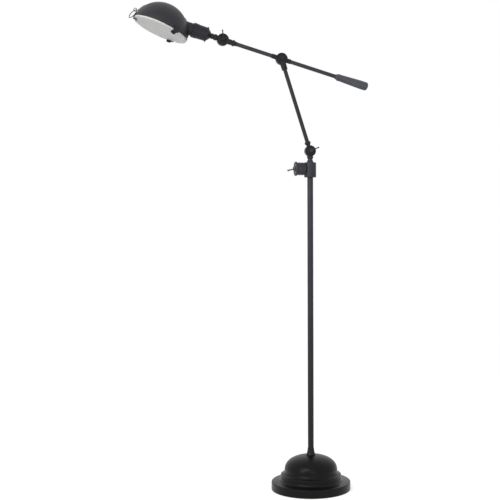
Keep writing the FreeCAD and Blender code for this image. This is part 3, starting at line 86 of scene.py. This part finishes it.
# ================================================================== node helpers
class Surface:
    """A material with one principled shader, and short calls that add its nodes."""

    def __init__(self, name):
        self.material = bpy.data.materials.new(name)
        self.material.use_nodes = True
        self.tree = self.material.node_tree
        self.tree.nodes.clear()
        out = self.add("ShaderNodeOutputMaterial")
        self.shader = self.add("ShaderNodeBsdfPrincipled")
        self.tree.links.new(self.shader.outputs["BSDF"], out.inputs["Surface"])

    def add(self, kind, **settings):
        node = self.tree.nodes.new(kind)
        for key, value in settings.items():
            setattr(node, key, value)
        return node

    def feed(self, socket, value):
        """Links an output to a socket, or sets a plain number or colour on it."""
        if isinstance(value, bpy.types.NodeSocket):
            self.tree.links.new(value, socket)
        else:
            socket.default_value = value

    def set(self, **values):
        for key, value in values.items():
            self.feed(self.shader.inputs[key.replace("_", " ")], value)

    def calc(self, operation, first, second=0.0, third=0.0):
        node = self.add("ShaderNodeMath", operation=operation)
        for socket, value in zip(node.inputs, (first, second, third)):
            self.feed(socket, value)
        return node.outputs[0]

    def point(self, place=(0, 0, 0), lean=0.0):
        """Position relative to a place on the lamp, with Z along the piece's own axis."""
        where = self.add("ShaderNodeTexCoord").outputs["Object"]
        node = self.add("ShaderNodeMapping", vector_type="TEXTURE")
        self.feed(node.inputs["Vector"], where)
        node.inputs["Location"].default_value = place
        node.inputs["Rotation"].default_value = (0, math.radians(lean), 0)
        return node.outputs[0]

    def stretched(self, vector, factors):
        node = self.add("ShaderNodeVectorMath", operation="MULTIPLY")
        self.feed(node.inputs[0], vector)
        node.inputs[1].default_value = factors
        return node.outputs[0]

    def parts(self, vector):
        node = self.add("ShaderNodeSeparateXYZ")
        self.feed(node.inputs[0], vector)
        return node.outputs

    def length(self, vector):
        node = self.add("ShaderNodeVectorMath", operation="LENGTH")
        self.feed(node.inputs[0], vector)
        return node.outputs["Value"]

    def noise(self, vector, scale, detail=3.0, roughness=0.55):
        node = self.add("ShaderNodeTexNoise")
        self.feed(node.inputs["Vector"], vector)
        node.inputs["Scale"].default_value = scale
        node.inputs["Detail"].default_value = detail
        node.inputs["Roughness"].default_value = roughness
        return node.outputs["Fac"]

    def spread(self, value, low, high, to_low=0.0, to_high=1.0):
        node = self.add("ShaderNodeMapRange")
        for socket, number in zip(node.inputs, (value, low, high, to_low, to_high)):
            self.feed(socket, number)
        return node.outputs[0]

    def mix(self, share, first, second):
        node = self.add("ShaderNodeMix", data_type="RGBA")
        self.feed(node.inputs["Factor"], share)
        sockets = [s for s in node.inputs if s.type == "RGBA"]
        self.feed(sockets[0], first)
        self.feed(sockets[1], second)
        return next(s for s in node.outputs if s.type == "RGBA")

    def edges(self, radius, breaking):
        """1 on the piece's sharp edges, 0 on its faces, broken up by a noise."""
        soft = self.add("ShaderNodeBevel", samples=4)
        soft.inputs["Radius"].default_value = radius
        dot = self.add("ShaderNodeVectorMath", operation="DOT_PRODUCT")
        self.feed(dot.inputs[0], soft.outputs[0])
        self.feed(dot.inputs[1], self.add("ShaderNodeNewGeometry").outputs["Normal"])
        edge = self.spread(dot.outputs["Value"], 0.995, 0.86)
        return self.calc("MULTIPLY", edge, self.spread(breaking, 0.38, 0.62)), soft.outputs[0]

    def bump(self, height, strength, distance, normal=None):
        node = self.add("ShaderNodeBump")
        self.feed(node.inputs["Height"], height)
        node.inputs["Strength"].default_value = strength
        node.inputs["Distance"].default_value = distance
        if normal is not None:
            self.feed(node.inputs["Normal"], normal)
        return node.outputs[0]


def grey(value):
    """Neutral linear colour."""
    return (value, value, value, 1)


# ================================================================== materials
PAINT_DARK = (0.0074, 0.0074, 0.0076, 1)
PAINT_LIGHT = (0.0125, 0.0124, 0.0128, 1)
# rubbed-through paint on the edges, made light enough to also paint in the highlights that edges catch
WEAR_AND_EDGE_HIGHLIGHT = (0.0950, 0.0760, 0.0600, 1)
COOL_PAINTED_LIGHT = (0.95, 0.98, 1.16)   # tints of the paint; the cool one paints in the bluish light on the upper parts
NEUTRAL = (1.02, 1.02, 0.92)


def fine_marks(surface, where, marks):
    """Height of the finest marks: how the piece was cast, turned, spun or drawn."""
    if marks == "turned":
        return surface.noise(surface.stretched(where, (60, 60, 1500)), 1.0, 2.0)
    if marks == "drawn":
        return surface.noise(surface.stretched(where, (900, 900, 14)), 1.0, 2.0)
    if marks == "spun":
        x, y, z = surface.parts(where)[:3]
        across = surface.calc("POWER", surface.calc("ADD", surface.calc("MULTIPLY", x, x),
                                                    surface.calc("MULTIPLY", y, y)), 0.5)
        rings = surface.add("ShaderNodeCombineXYZ")
        surface.feed(rings.inputs[0], across)
        surface.feed(rings.inputs[1], z)
        return surface.noise(surface.stretched(rings.outputs[0], (420, 420, 1)), 1.0, 3.0)
    return surface.noise(where, 520.0, 4.0, 0.6)


def bronze(name, marks="cast", place=(0, 0, 0), lean=0.0, paint_and_light_tone=1.0, rough=0.42, streaks=0.0, tint=COOL_PAINTED_LIGHT,
           gloss=0.22, painted_low_shade=0.0):
    """Near-black satin paint on bronze: cloudy mottling, marks of how it was made, rubbed edges that also carry
    painted highlights, a per-piece level that paints in light and shade, and an optional painted shade towards
    the bottom.
    """
    surface = Surface(name)
    where = surface.point(place, lean)
    clouds = surface.noise(where, 14.0, 5.0, 0.5)
    fine = fine_marks(surface, where, marks)
    tone_share = surface.spread(surface.calc("ADD", surface.calc("MULTIPLY", clouds, 0.8),
                                             surface.calc("MULTIPLY", fine, 0.2)), 0.3, 0.7)
    # the per-piece level scales the paint's colour: besides the paint's own darkness it paints in how much light
    # falls on the piece, so one paint comes as lit and shaded copies
    dark = tuple(c * paint_and_light_tone * t for c, t in zip(PAINT_DARK, tint)) + (1,)
    light = tuple(c * paint_and_light_tone * t for c, t in zip(PAINT_LIGHT, tint)) + (1,)
    colour = surface.mix(tone_share, dark, light)
    if streaks:
        lines = surface.noise(surface.stretched(where, (420, 420, 9)), 1.0, 3.0, 0.7)
        line_share = surface.calc("MULTIPLY", surface.spread(lines, 0.46, 0.66), streaks)
        colour = surface.mix(line_share, colour, (0.16, 0.16, 0.165, 1))
    # painted shade: darkens the paint towards the bottom of the piece, standing in for the lower pole getting
    # less light
    if painted_low_shade:
        low_shade_share = surface.spread(surface.parts(where)[2], 0.1, 0.85, painted_low_shade, 0.0)
        colour = surface.mix(low_shade_share, colour, (0.0035, 0.0035, 0.0033, 1))
    worn, soft_normal = surface.edges(0.0008, clouds)
    # edges lighten towards the worn colour: partly real wear, partly painted highlight
    colour = surface.mix(surface.calc("MULTIPLY", worn, 0.6), colour, WEAR_AND_EDGE_HIGHLIGHT)
    peel = surface.noise(where, 900.0, 2.0)
    height = surface.calc("ADD", surface.calc("MULTIPLY", peel, 0.5), fine)
    roughness = surface.calc("SUBTRACT", surface.spread(tone_share, 0, 1, rough + 0.05, rough - 0.06),
                             surface.calc("MULTIPLY", worn, 0.08))
    surface.set(Base_Color=colour, Roughness=roughness,
                Normal=surface.bump(height, 0.22, 0.00012, soft_normal))
    surface.set(Metallic=0.0, Specular_IOR_Level=gloss)
    return surface.material


def shade_paint():
    """Spun dome: dark paint with painted cool light outside, white enamel inside."""
    surface = Surface("shade_paint")
    where = surface.point(SHADE_CENTRE, SHADE_LEAN)
    clouds = surface.noise(where, 22.0, 4.0, 0.6)
    fine = fine_marks(surface, where, "spun")
    tone_share = surface.spread(surface.calc("ADD", surface.calc("MULTIPLY", clouds, 0.7),
                                             surface.calc("MULTIPLY", fine, 0.3)), 0.35, 0.68)
    # the shade's edges lighten the same way: partly wear, partly painted highlight
    worn, soft_normal = surface.edges(0.0006, clouds)
    # painted light: the outside colours are bluer and set to the brightness the shade shows, standing in for the
    # cool light on it as well as the paint
    outside = surface.mix(surface.calc("MULTIPLY", worn, 0.4),
                          surface.mix(tone_share, (0.0165, 0.0165, 0.0205, 1), (0.0240, 0.0240, 0.0290, 1)),
                          WEAR_AND_EDGE_HIGHLIGHT)
    inside = surface.mix(tone_share, (0.72, 0.72, 0.70, 1), (0.80, 0.80, 0.78, 1))
    is_inside = surface.calc("LESS_THAN", surface.length(where), SHADE_RADIUS - SHADE_WALL / 2)
    surface.set(Base_Color=surface.mix(is_inside, outside, inside),
                Roughness=surface.spread(tone_share, 0, 1, 0.5, 0.4),
                Normal=surface.bump(fine, 0.18, 0.00012, soft_normal))
    surface.set(Metallic=0.0, Specular_IOR_Level=0.32)
    return surface.material


def bare_metal(name, low, high, rough, marks="turned", place=(0, 0, 0), lean=0.0):
    """Bare or plated metal with fine marks and small stains."""
    surface = Surface(name)
    where = surface.point(place, lean)
    stains = surface.noise(where, 160.0, 4.0, 0.65)
    fine = fine_marks(surface, where, marks)
    share = surface.spread(stains, 0.36, 0.64)
    worn, soft_normal = surface.edges(0.0004, stains)
    surface.set(Base_Color=surface.mix(share, low, high),
                Roughness=surface.calc("SUBTRACT", surface.spread(share, 0, 1, rough + 0.08, rough - 0.04),
                                       surface.calc("MULTIPLY", worn, 0.06)),
                Normal=surface.bump(fine, 0.15, 0.00008, soft_normal))
    surface.set(Metallic=1.0)
    return surface.material


def cast_iron():
    surface = Surface("cast_iron_raw")
    where = surface.point()
    grain = surface.noise(where, 260.0, 5.0, 0.7)
    rust = surface.noise(where, 40.0, 4.0, 0.7)
    colour = surface.mix(surface.spread(grain, 0.3, 0.7), (0.035, 0.033, 0.031, 1), (0.085, 0.08, 0.075, 1))
    colour = surface.mix(surface.spread(rust, 0.56, 0.72, 0, 0.7), colour, (0.10, 0.045, 0.022, 1))
    surface.set(Base_Color=colour, Roughness=surface.spread(rust, 0.4, 0.7, 0.62, 0.85),
                Normal=surface.bump(grain, 0.6, 0.0005))
    return surface.material


def felt():
    surface = Surface("felt_pad")
    where = surface.point()
    fibres = surface.noise(surface.stretched(where, (1, 2.4, 1)), 1400.0, 4.0, 0.75)
    clumps = surface.noise(where, 120.0, 4.0, 0.6)
    colour = surface.mix(surface.spread(fibres, 0.3, 0.7),
                         (0.008, 0.009, 0.008, 1), (0.034, 0.037, 0.033, 1))
    colour = surface.mix(surface.spread(clumps, 0.4, 0.7, 0, 0.35), colour, (0.05, 0.052, 0.048, 1))
    surface.set(Base_Color=colour, Roughness=surface.spread(clumps, 0, 1, 0.9, 1.0),
                Normal=surface.bump(fibres, 0.8, 0.0004))
    surface.set(Sheen_Weight=0.3, Sheen_Roughness=0.6)
    return surface.material


def black_plastic():
    surface = Surface("moulded_plastic")
    where = surface.point()
    grain = surface.noise(where, 1100.0, 3.0, 0.6)
    clouds = surface.noise(where, 60.0, 3.0)
    worn, soft_normal = surface.edges(0.0004, clouds)
    colour = surface.mix(surface.spread(clouds, 0.35, 0.65),
                         (0.009, 0.009, 0.010, 1), (0.016, 0.016, 0.017, 1))
    colour = surface.mix(surface.calc("MULTIPLY", worn, 0.4), colour, (0.05, 0.05, 0.052, 1))
    surface.set(Base_Color=colour, Roughness=surface.spread(grain, 0.3, 0.7, 0.38, 0.5),
                Normal=surface.bump(grain, 0.3, 0.0001, soft_normal))
    return surface.material


def porcelain():
    surface = Surface("glazed_porcelain")
    where = surface.point()
    clouds = surface.noise(where, 70.0, 4.0)
    specks = surface.noise(where, 900.0, 2.0)
    worn, soft_normal = surface.edges(0.0008, clouds)
    colour = surface.mix(surface.spread(clouds, 0.35, 0.65), (0.76, 0.75, 0.71, 1), (0.84, 0.83, 0.80, 1))
    colour = surface.mix(surface.spread(specks, 0.68, 0.74, 0, 0.5), colour, (0.45, 0.40, 0.33, 1))
    colour = surface.mix(surface.calc("MULTIPLY", worn, 0.3), colour, (0.62, 0.60, 0.56, 1))
    surface.set(Base_Color=colour, Roughness=surface.spread(clouds, 0, 1, 0.12, 0.25),
                Normal=surface.bump(clouds, 0.15, 0.0005, soft_normal))
    surface.set(Coat_Weight=0.5, Coat_Roughness=0.08)
    return surface.material


def frosted_glass():
    """Etched glass in the shade's mouth."""
    surface = Surface("frosted_glass_etched")
    where = surface.point(SHADE_CENTRE, SHADE_LEAN)
    etch = surface.noise(where, 1600.0, 3.0, 0.7)
    clouds = surface.noise(where, 26.0, 4.0)
    worn, soft_normal = surface.edges(0.0006, clouds)
    colour = surface.mix(surface.spread(clouds, 0.35, 0.65), (0.87, 0.88, 0.86, 1), (0.92, 0.93, 0.91, 1))
    colour = surface.mix(surface.calc("MULTIPLY", worn, 0.25), colour, (0.62, 0.72, 0.68, 1))
    surface.set(Base_Color=colour, Roughness=surface.spread(etch, 0.3, 0.7, 0.42, 0.56),
                Normal=surface.bump(etch, 0.25, 0.0001, soft_normal))
    surface.set(Transmission_Weight=0.35, IOR=1.5)
    return surface.material


def bulb_white():
    """Bulb with a soft white coating inside the glass."""
    surface = Surface("coated_bulb_glass")
    where = surface.point()
    clouds = surface.noise(where, 90.0, 4.0)
    dust = surface.noise(where, 1300.0, 3.0)
    colour = surface.mix(surface.spread(clouds, 0.35, 0.65), (0.82, 0.82, 0.80, 1), (0.9, 0.9, 0.88, 1))
    surface.set(Base_Color=colour, Roughness=surface.spread(dust, 0.3, 0.7, 0.14, 0.24),
                Normal=surface.bump(dust, 0.1, 0.00005))
    surface.set(Transmission_Weight=0.5, IOR=1.5)
    return surface.material


# ================================================================== dressing the solids
def dress(material, *nodes):
    for name in nodes:
        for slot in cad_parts[name].material_slots:
            slot.material = material


def dress_all():
    nickel = bare_metal("nickel_plate", (0.09, 0.09, 0.094, 1), (0.17, 0.17, 0.175, 1), 0.3,
                        place=SWITCH_CENTRE, lean=-106.0)
    # painted light and shade: the tone numbers below give lighter copies of the same paint on well-lit pieces
    # and a darker one on the base
    head_paint = bronze("turned_bronze_head", "turned", SHADE_CENTRE, FRONT_LEAN, paint_and_light_tone=2.32)
    dress(bronze("spun_bronze_base", "spun", paint_and_light_tone=0.36, rough=0.33, tint=NEUTRAL, gloss=0.14), "base_cover")
    dress(bronze("turned_bronze_neck", "turned", tint=NEUTRAL), "base_neck")
    dress(bronze("turned_bronze_upright", "turned", paint_and_light_tone=4.17), "switch_housing", "neck_cone")
    # painted shade on the lower part of the pole
    dress(bronze("drawn_bronze_pole", "drawn", rough=0.36, paint_and_light_tone=4.2, painted_low_shade=0.85), "pole_tube")
    dress(bronze("turned_bronze_switch", "turned", SWITCH_CENTRE, 90.0, paint_and_light_tone=4.23),
          "switch_cup", "switch_end_cap", "end_cap_screws")
    dress(bronze("cast_bronze_swivel", "cast", LOW_PIVOT, paint_and_light_tone=3.2), "swivel_knuckle", "low_thumb_lever")
    dress(bronze("cast_bronze_lower_arm", "cast", MID_PIVOT, LOWER_LEAN, paint_and_light_tone=1.36),
          "low_arm_knuckle", "mid_arm_knuckle", "mid_thumb_lever")
    dress(bronze("drawn_bronze_lower_arm", "drawn", MID_PIVOT, LOWER_LEAN, rough=0.38, paint_and_light_tone=2.70),
          "lower_arm_tube")
    dress(bronze("turned_bronze_lower_arm", "turned", MID_PIVOT, LOWER_LEAN, paint_and_light_tone=1.4), "lower_arm_ferrules")
    dress(bronze("cast_bronze_balance_arm", "cast", MID_PIVOT, FRONT_LEAN, paint_and_light_tone=1.38),
          "balance_hub", "head_arm_knuckle", "head_thumb_lever", "head_knuckle")
    dress(bronze("drawn_bronze_balance_arm", "drawn", MID_PIVOT, FRONT_LEAN, rough=0.38, paint_and_light_tone=4.52),
          "front_rod", "rear_rod")
    dress(bronze("turned_bronze_balance_arm", "turned", MID_PIVOT, FRONT_LEAN, paint_and_light_tone=1.65),
          "front_rod_ferrule", "neck_ring",
          "socket_cap", "socket_cup", "socket_screws")
    dress(bronze("brushed_bronze_weight", "drawn", MID_PIVOT, REAR_LEAN, paint_and_light_tone=7.5, streaks=0.5),
          "counterweight", "counterweight_collar", "counterweight_end_cap")
    dress(head_paint, "shade_fitter", "ring_lug", "shade_rivets", "lens_clips")
    dress(shade_paint(), "shade")
    dress(cast_iron(), "base_weight")
    dress(felt(), "base_pad")
    dress(bare_metal("zinc_steel", (0.33, 0.33, 0.32, 1), (0.48, 0.48, 0.47, 1), 0.38),
          "base_washer", "base_nut", "pole_insert", "swivel_nut", "head_nut")
    dress(bare_metal("dark_steel", (0.045, 0.045, 0.047, 1), (0.085, 0.085, 0.088, 1), 0.34),
          "low_pivot_bolt", "mid_pivot_bolt", "head_pivot_bolt")
    dress(bare_metal("ring_steel", (0.06, 0.06, 0.062, 1), (0.11, 0.11, 0.113, 1), 0.34), "pull_ring")
    dress(bare_metal("brass_plain", (0.50, 0.34, 0.13, 1), (0.66, 0.47, 0.2, 1), 0.32),
          "bulb_base", "center_nipple")
    dress(nickel, "switch_nut", "switch_toggle")
    dress(black_plastic(), "cord_bushing", "switch_body", "low_friction_washer",
          "mid_friction_washer", "head_friction_washer")
    dress(porcelain(), "lampholder")
    dress(bulb_white(), "bulb_glass")
    dress(frosted_glass(), "lens")
    clip_tabs(head_paint)
    knurled_nut(nickel)


# ================================================================== added pieces
def add_piece(name, mesh, material, body):
    """A finished mesh as a smooth piece that rides on a body."""
    mesh.normal_update()
    data = bpy.data.meshes.new(name)
    mesh.to_mesh(data)
    mesh.free()
    data.materials.append(material)
    for face in data.polygons:
        face.use_smooth = True
    data.set_sharp_from_angle(angle=math.radians(40))
    piece = bpy.data.objects.new(name, data)
    bpy.context.scene.collection.objects.link(piece)
    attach(piece, body)
    return piece


def skin(mesh, rings, closed):
    """Faces between rings of vertices that all have the same number of points."""
    rows = [[mesh.verts.new(point) for point in ring] for ring in rings]
    pairs = list(zip(rows, rows[1:])) + ([(rows[-1], rows[0])] if closed else [])
    for first, second in pairs:
        for k in range(len(first)):
            after = (k + 1) % len(first)
            mesh.faces.new((first[k], first[after], second[after], second[k]))
    if not closed:
        mesh.faces.new(list(reversed(rows[0])))
        mesh.faces.new(rows[-1])


def clip_tabs(material):
    """Turned-down finger tab on the inner end of each clip's lip, with a rolled edge."""
    profile = []            # inner face, from the lip down to the rolled edge
    for inward, drop in ((0.0, -0.0002), (-0.0002, 0.4), (-0.0008, 0.8), (-0.0018, 1.0)):
        profile.append((inward, -TAB_DROP * drop if drop > 0 else 0.0006))
    outer = [(r + TAB_WALL, z) for r, z in reversed(profile)]
    section = profile + [(profile[-1][0] + TAB_WALL / 2, profile[-1][1] - TAB_WALL / 2)] + outer
    steps = 14
    mesh = bmesh.new()
    for clip_turn in CLIP_TURNS:
        rings = []
        for step in range(steps + 1):
            share = step / steps * 2 - 1
            angle = math.radians(clip_turn + share * TAB_SPREAD / 2)
            ease = 1 - 0.35 * max(0.0, abs(share) - 0.8) / 0.2
            ring = []
            for inward, z in section:
                radius = CLIP_LIP_RADIUS + inward
                height = CLIP_LIP_FOOT + (z if z > 0 else z * ease)
                local = Vector((radius * math.cos(angle), radius * math.sin(angle), height))
                ring.append(SHADE_CENTRE + turn(SHADE_LEAN) @ local)
            rings.append(ring)
        skin(mesh, rings, False)
    bmesh.ops.recalc_face_normals(mesh, faces=mesh.faces)
    add_piece("clip_finger_tabs", mesh, material, "head")


def knurled_nut(material):
    """Ring nut of the switch with a knurled edge and chamfered faces."""
    rings = []
    around_points = NUT_TEETH * 4
    for radius, depth, knurl in ((NUT_INNER, 0.0, 0), (NUT_OUTER - TOOTH_DEPTH, 0.0, 0),
                                 (NUT_OUTER, 0.0005, 1), (NUT_OUTER, NUT_THICKNESS - 0.0009, 1),
                                 (NUT_OUTER - 0.0009, NUT_THICKNESS, 0),
                                 (NUT_INNER + 0.0005, NUT_THICKNESS, 0), (NUT_INNER, NUT_THICKNESS - 0.0004, 0)):
        ring = []
        for k in range(around_points):
            angle = 2 * math.pi * k / around_points
            cut = knurl * TOOTH_DEPTH * (0.5 - 0.5 * math.cos(angle * NUT_TEETH))
            reach = radius - cut
            ring.append(SWITCH_CENTRE + Vector((-depth, reach * math.cos(angle), reach * math.sin(angle))))
        rings.append(ring)
    mesh = bmesh.new()
    skin(mesh, rings, True)
    bmesh.ops.recalc_face_normals(mesh, faces=mesh.faces)
    piece = add_piece("knurled_switch_nut", mesh, material, "stand")
    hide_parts("switch_nut")


# ================================================================== studio
def seen_directly(tree):
    """1 for rays from the camera, off gloss or through glass, 0 for the light on the object."""
    rays = tree.nodes.new("ShaderNodeLightPath")
    total = rays.outputs["Is Camera Ray"]
    for kind in ("Is Glossy Ray", "Is Transmission Ray"):
        node = tree.nodes.new("ShaderNodeMath")
        node.operation = "MAXIMUM"
        tree.links.new(total, node.inputs[0])
        tree.links.new(rays.outputs[kind], node.inputs[1])
        total = node.outputs[0]
    return total


def scaled(tree, value, factor, offset):
    node = tree.nodes.new("ShaderNodeMath")
    node.operation = "MULTIPLY_ADD"
    tree.links.new(value, node.inputs[0])
    node.inputs[1].default_value = factor
    node.inputs[2].default_value = offset
    return node.outputs[0]


def add_world():
    world = bpy.data.worlds.new("studio")
    bpy.context.scene.world = world
    world.use_nodes = True
    tree = world.node_tree
    tree.nodes.clear()
    out = tree.nodes.new("ShaderNodeOutputWorld")
    back = tree.nodes.new("ShaderNodeBackground")
    back.inputs["Color"].default_value = (1, 1, 1, 1)
    tree.links.new(scaled(tree, seen_directly(tree), 1 - AMBIENT, AMBIENT), back.inputs["Strength"])
    tree.links.new(back.outputs[0], out.inputs["Surface"])


def add_floor():
    mesh = bpy.data.meshes.new("studio_floor")
    corners = [(x * FLOOR_REACH, y * FLOOR_REACH, 0) for x, y in ((-1, -1), (1, -1), (1, 1), (-1, 1))]
    mesh.from_pydata(corners, [], [(0, 1, 2, 3)])
    floor = bpy.data.objects.new("studio_floor", mesh)
    bpy.context.scene.collection.objects.link(floor)
    material = bpy.data.materials.new("floor_white")
    material.use_nodes = True
    tree = material.node_tree
    tree.nodes.clear()
    out = tree.nodes.new("ShaderNodeOutputMaterial")
    both = tree.nodes.new("ShaderNodeAddShader")
    matt = tree.nodes.new("ShaderNodeBsdfDiffuse")
    matt.inputs["Color"].default_value = grey(FLOOR_COLOUR)
    glow = tree.nodes.new("ShaderNodeEmission")
    glow.inputs["Color"].default_value = grey(1.0)
    tree.links.new(scaled(tree, seen_directly(tree), FLOOR_GLOW, 0.0), glow.inputs["Strength"])
    tree.links.new(matt.outputs[0], both.inputs[0])
    tree.links.new(glow.outputs[0], both.inputs[1])
    tree.links.new(both.outputs[0], out.inputs["Surface"])
    mesh.materials.append(material)


def add_lamp(name, place, target, width, height, power, colour=(1, 1, 1)):
    data = bpy.data.lights.new(name, "AREA")
    data.shape = "RECTANGLE"
    data.size = width
    data.size_y = height
    data.energy = power
    data.color = colour
    lamp = bpy.data.objects.new(name, data)
    bpy.context.scene.collection.objects.link(lamp)
    lamp.location = place
    lamp.rotation_euler = (Vector(target) - Vector(place)).to_track_quat("-Z", "Y").to_euler()


def add_camera():
    scene = bpy.context.scene
    data = bpy.data.cameras.new("camera")
    data.sensor_width = SENSOR_MM
    data.lens = SENSOR_MM * FOCAL_PIXELS / FRAME_PIXELS
    data.shift_x = 0.5 - AXIS_PIXEL[0] / FRAME_PIXELS
    data.shift_y = AXIS_PIXEL[1] / FRAME_PIXELS - 0.5
    data.clip_end = 100.0
    camera = bpy.data.objects.new("camera", data)
    scene.collection.objects.link(camera)
    facing = (Matrix.Rotation(math.radians(CAMERA_TURN), 4, "Z") @ Matrix.Rotation(math.radians(90), 4, "X")
              @ Matrix.Rotation(math.radians(CAMERA_ROLL), 4, "Z"))
    camera.matrix_world = Matrix.Translation(CAMERA_PLACE) @ facing
    scene.camera = camera
    scene.view_settings.view_transform = "Standard"


dress_all()
add_world()
add_floor()
add_lamp("key_softbox", (-1.6, -2.0, 2.3), (-0.3, 0, 1.4), 1.0, 1.0, 24.0)
add_lamp("side_strip", (-2.2, -1.7, 1.35), (0, 0, 1.05), 0.4, 1.0, 12.0)
add_lamp("front_strip", (-0.25, -3.4, 1.0), (0, 0, 0.5), 0.3, 1.2, 7.0, (0.78, 0.85, 1.0))
add_camera()
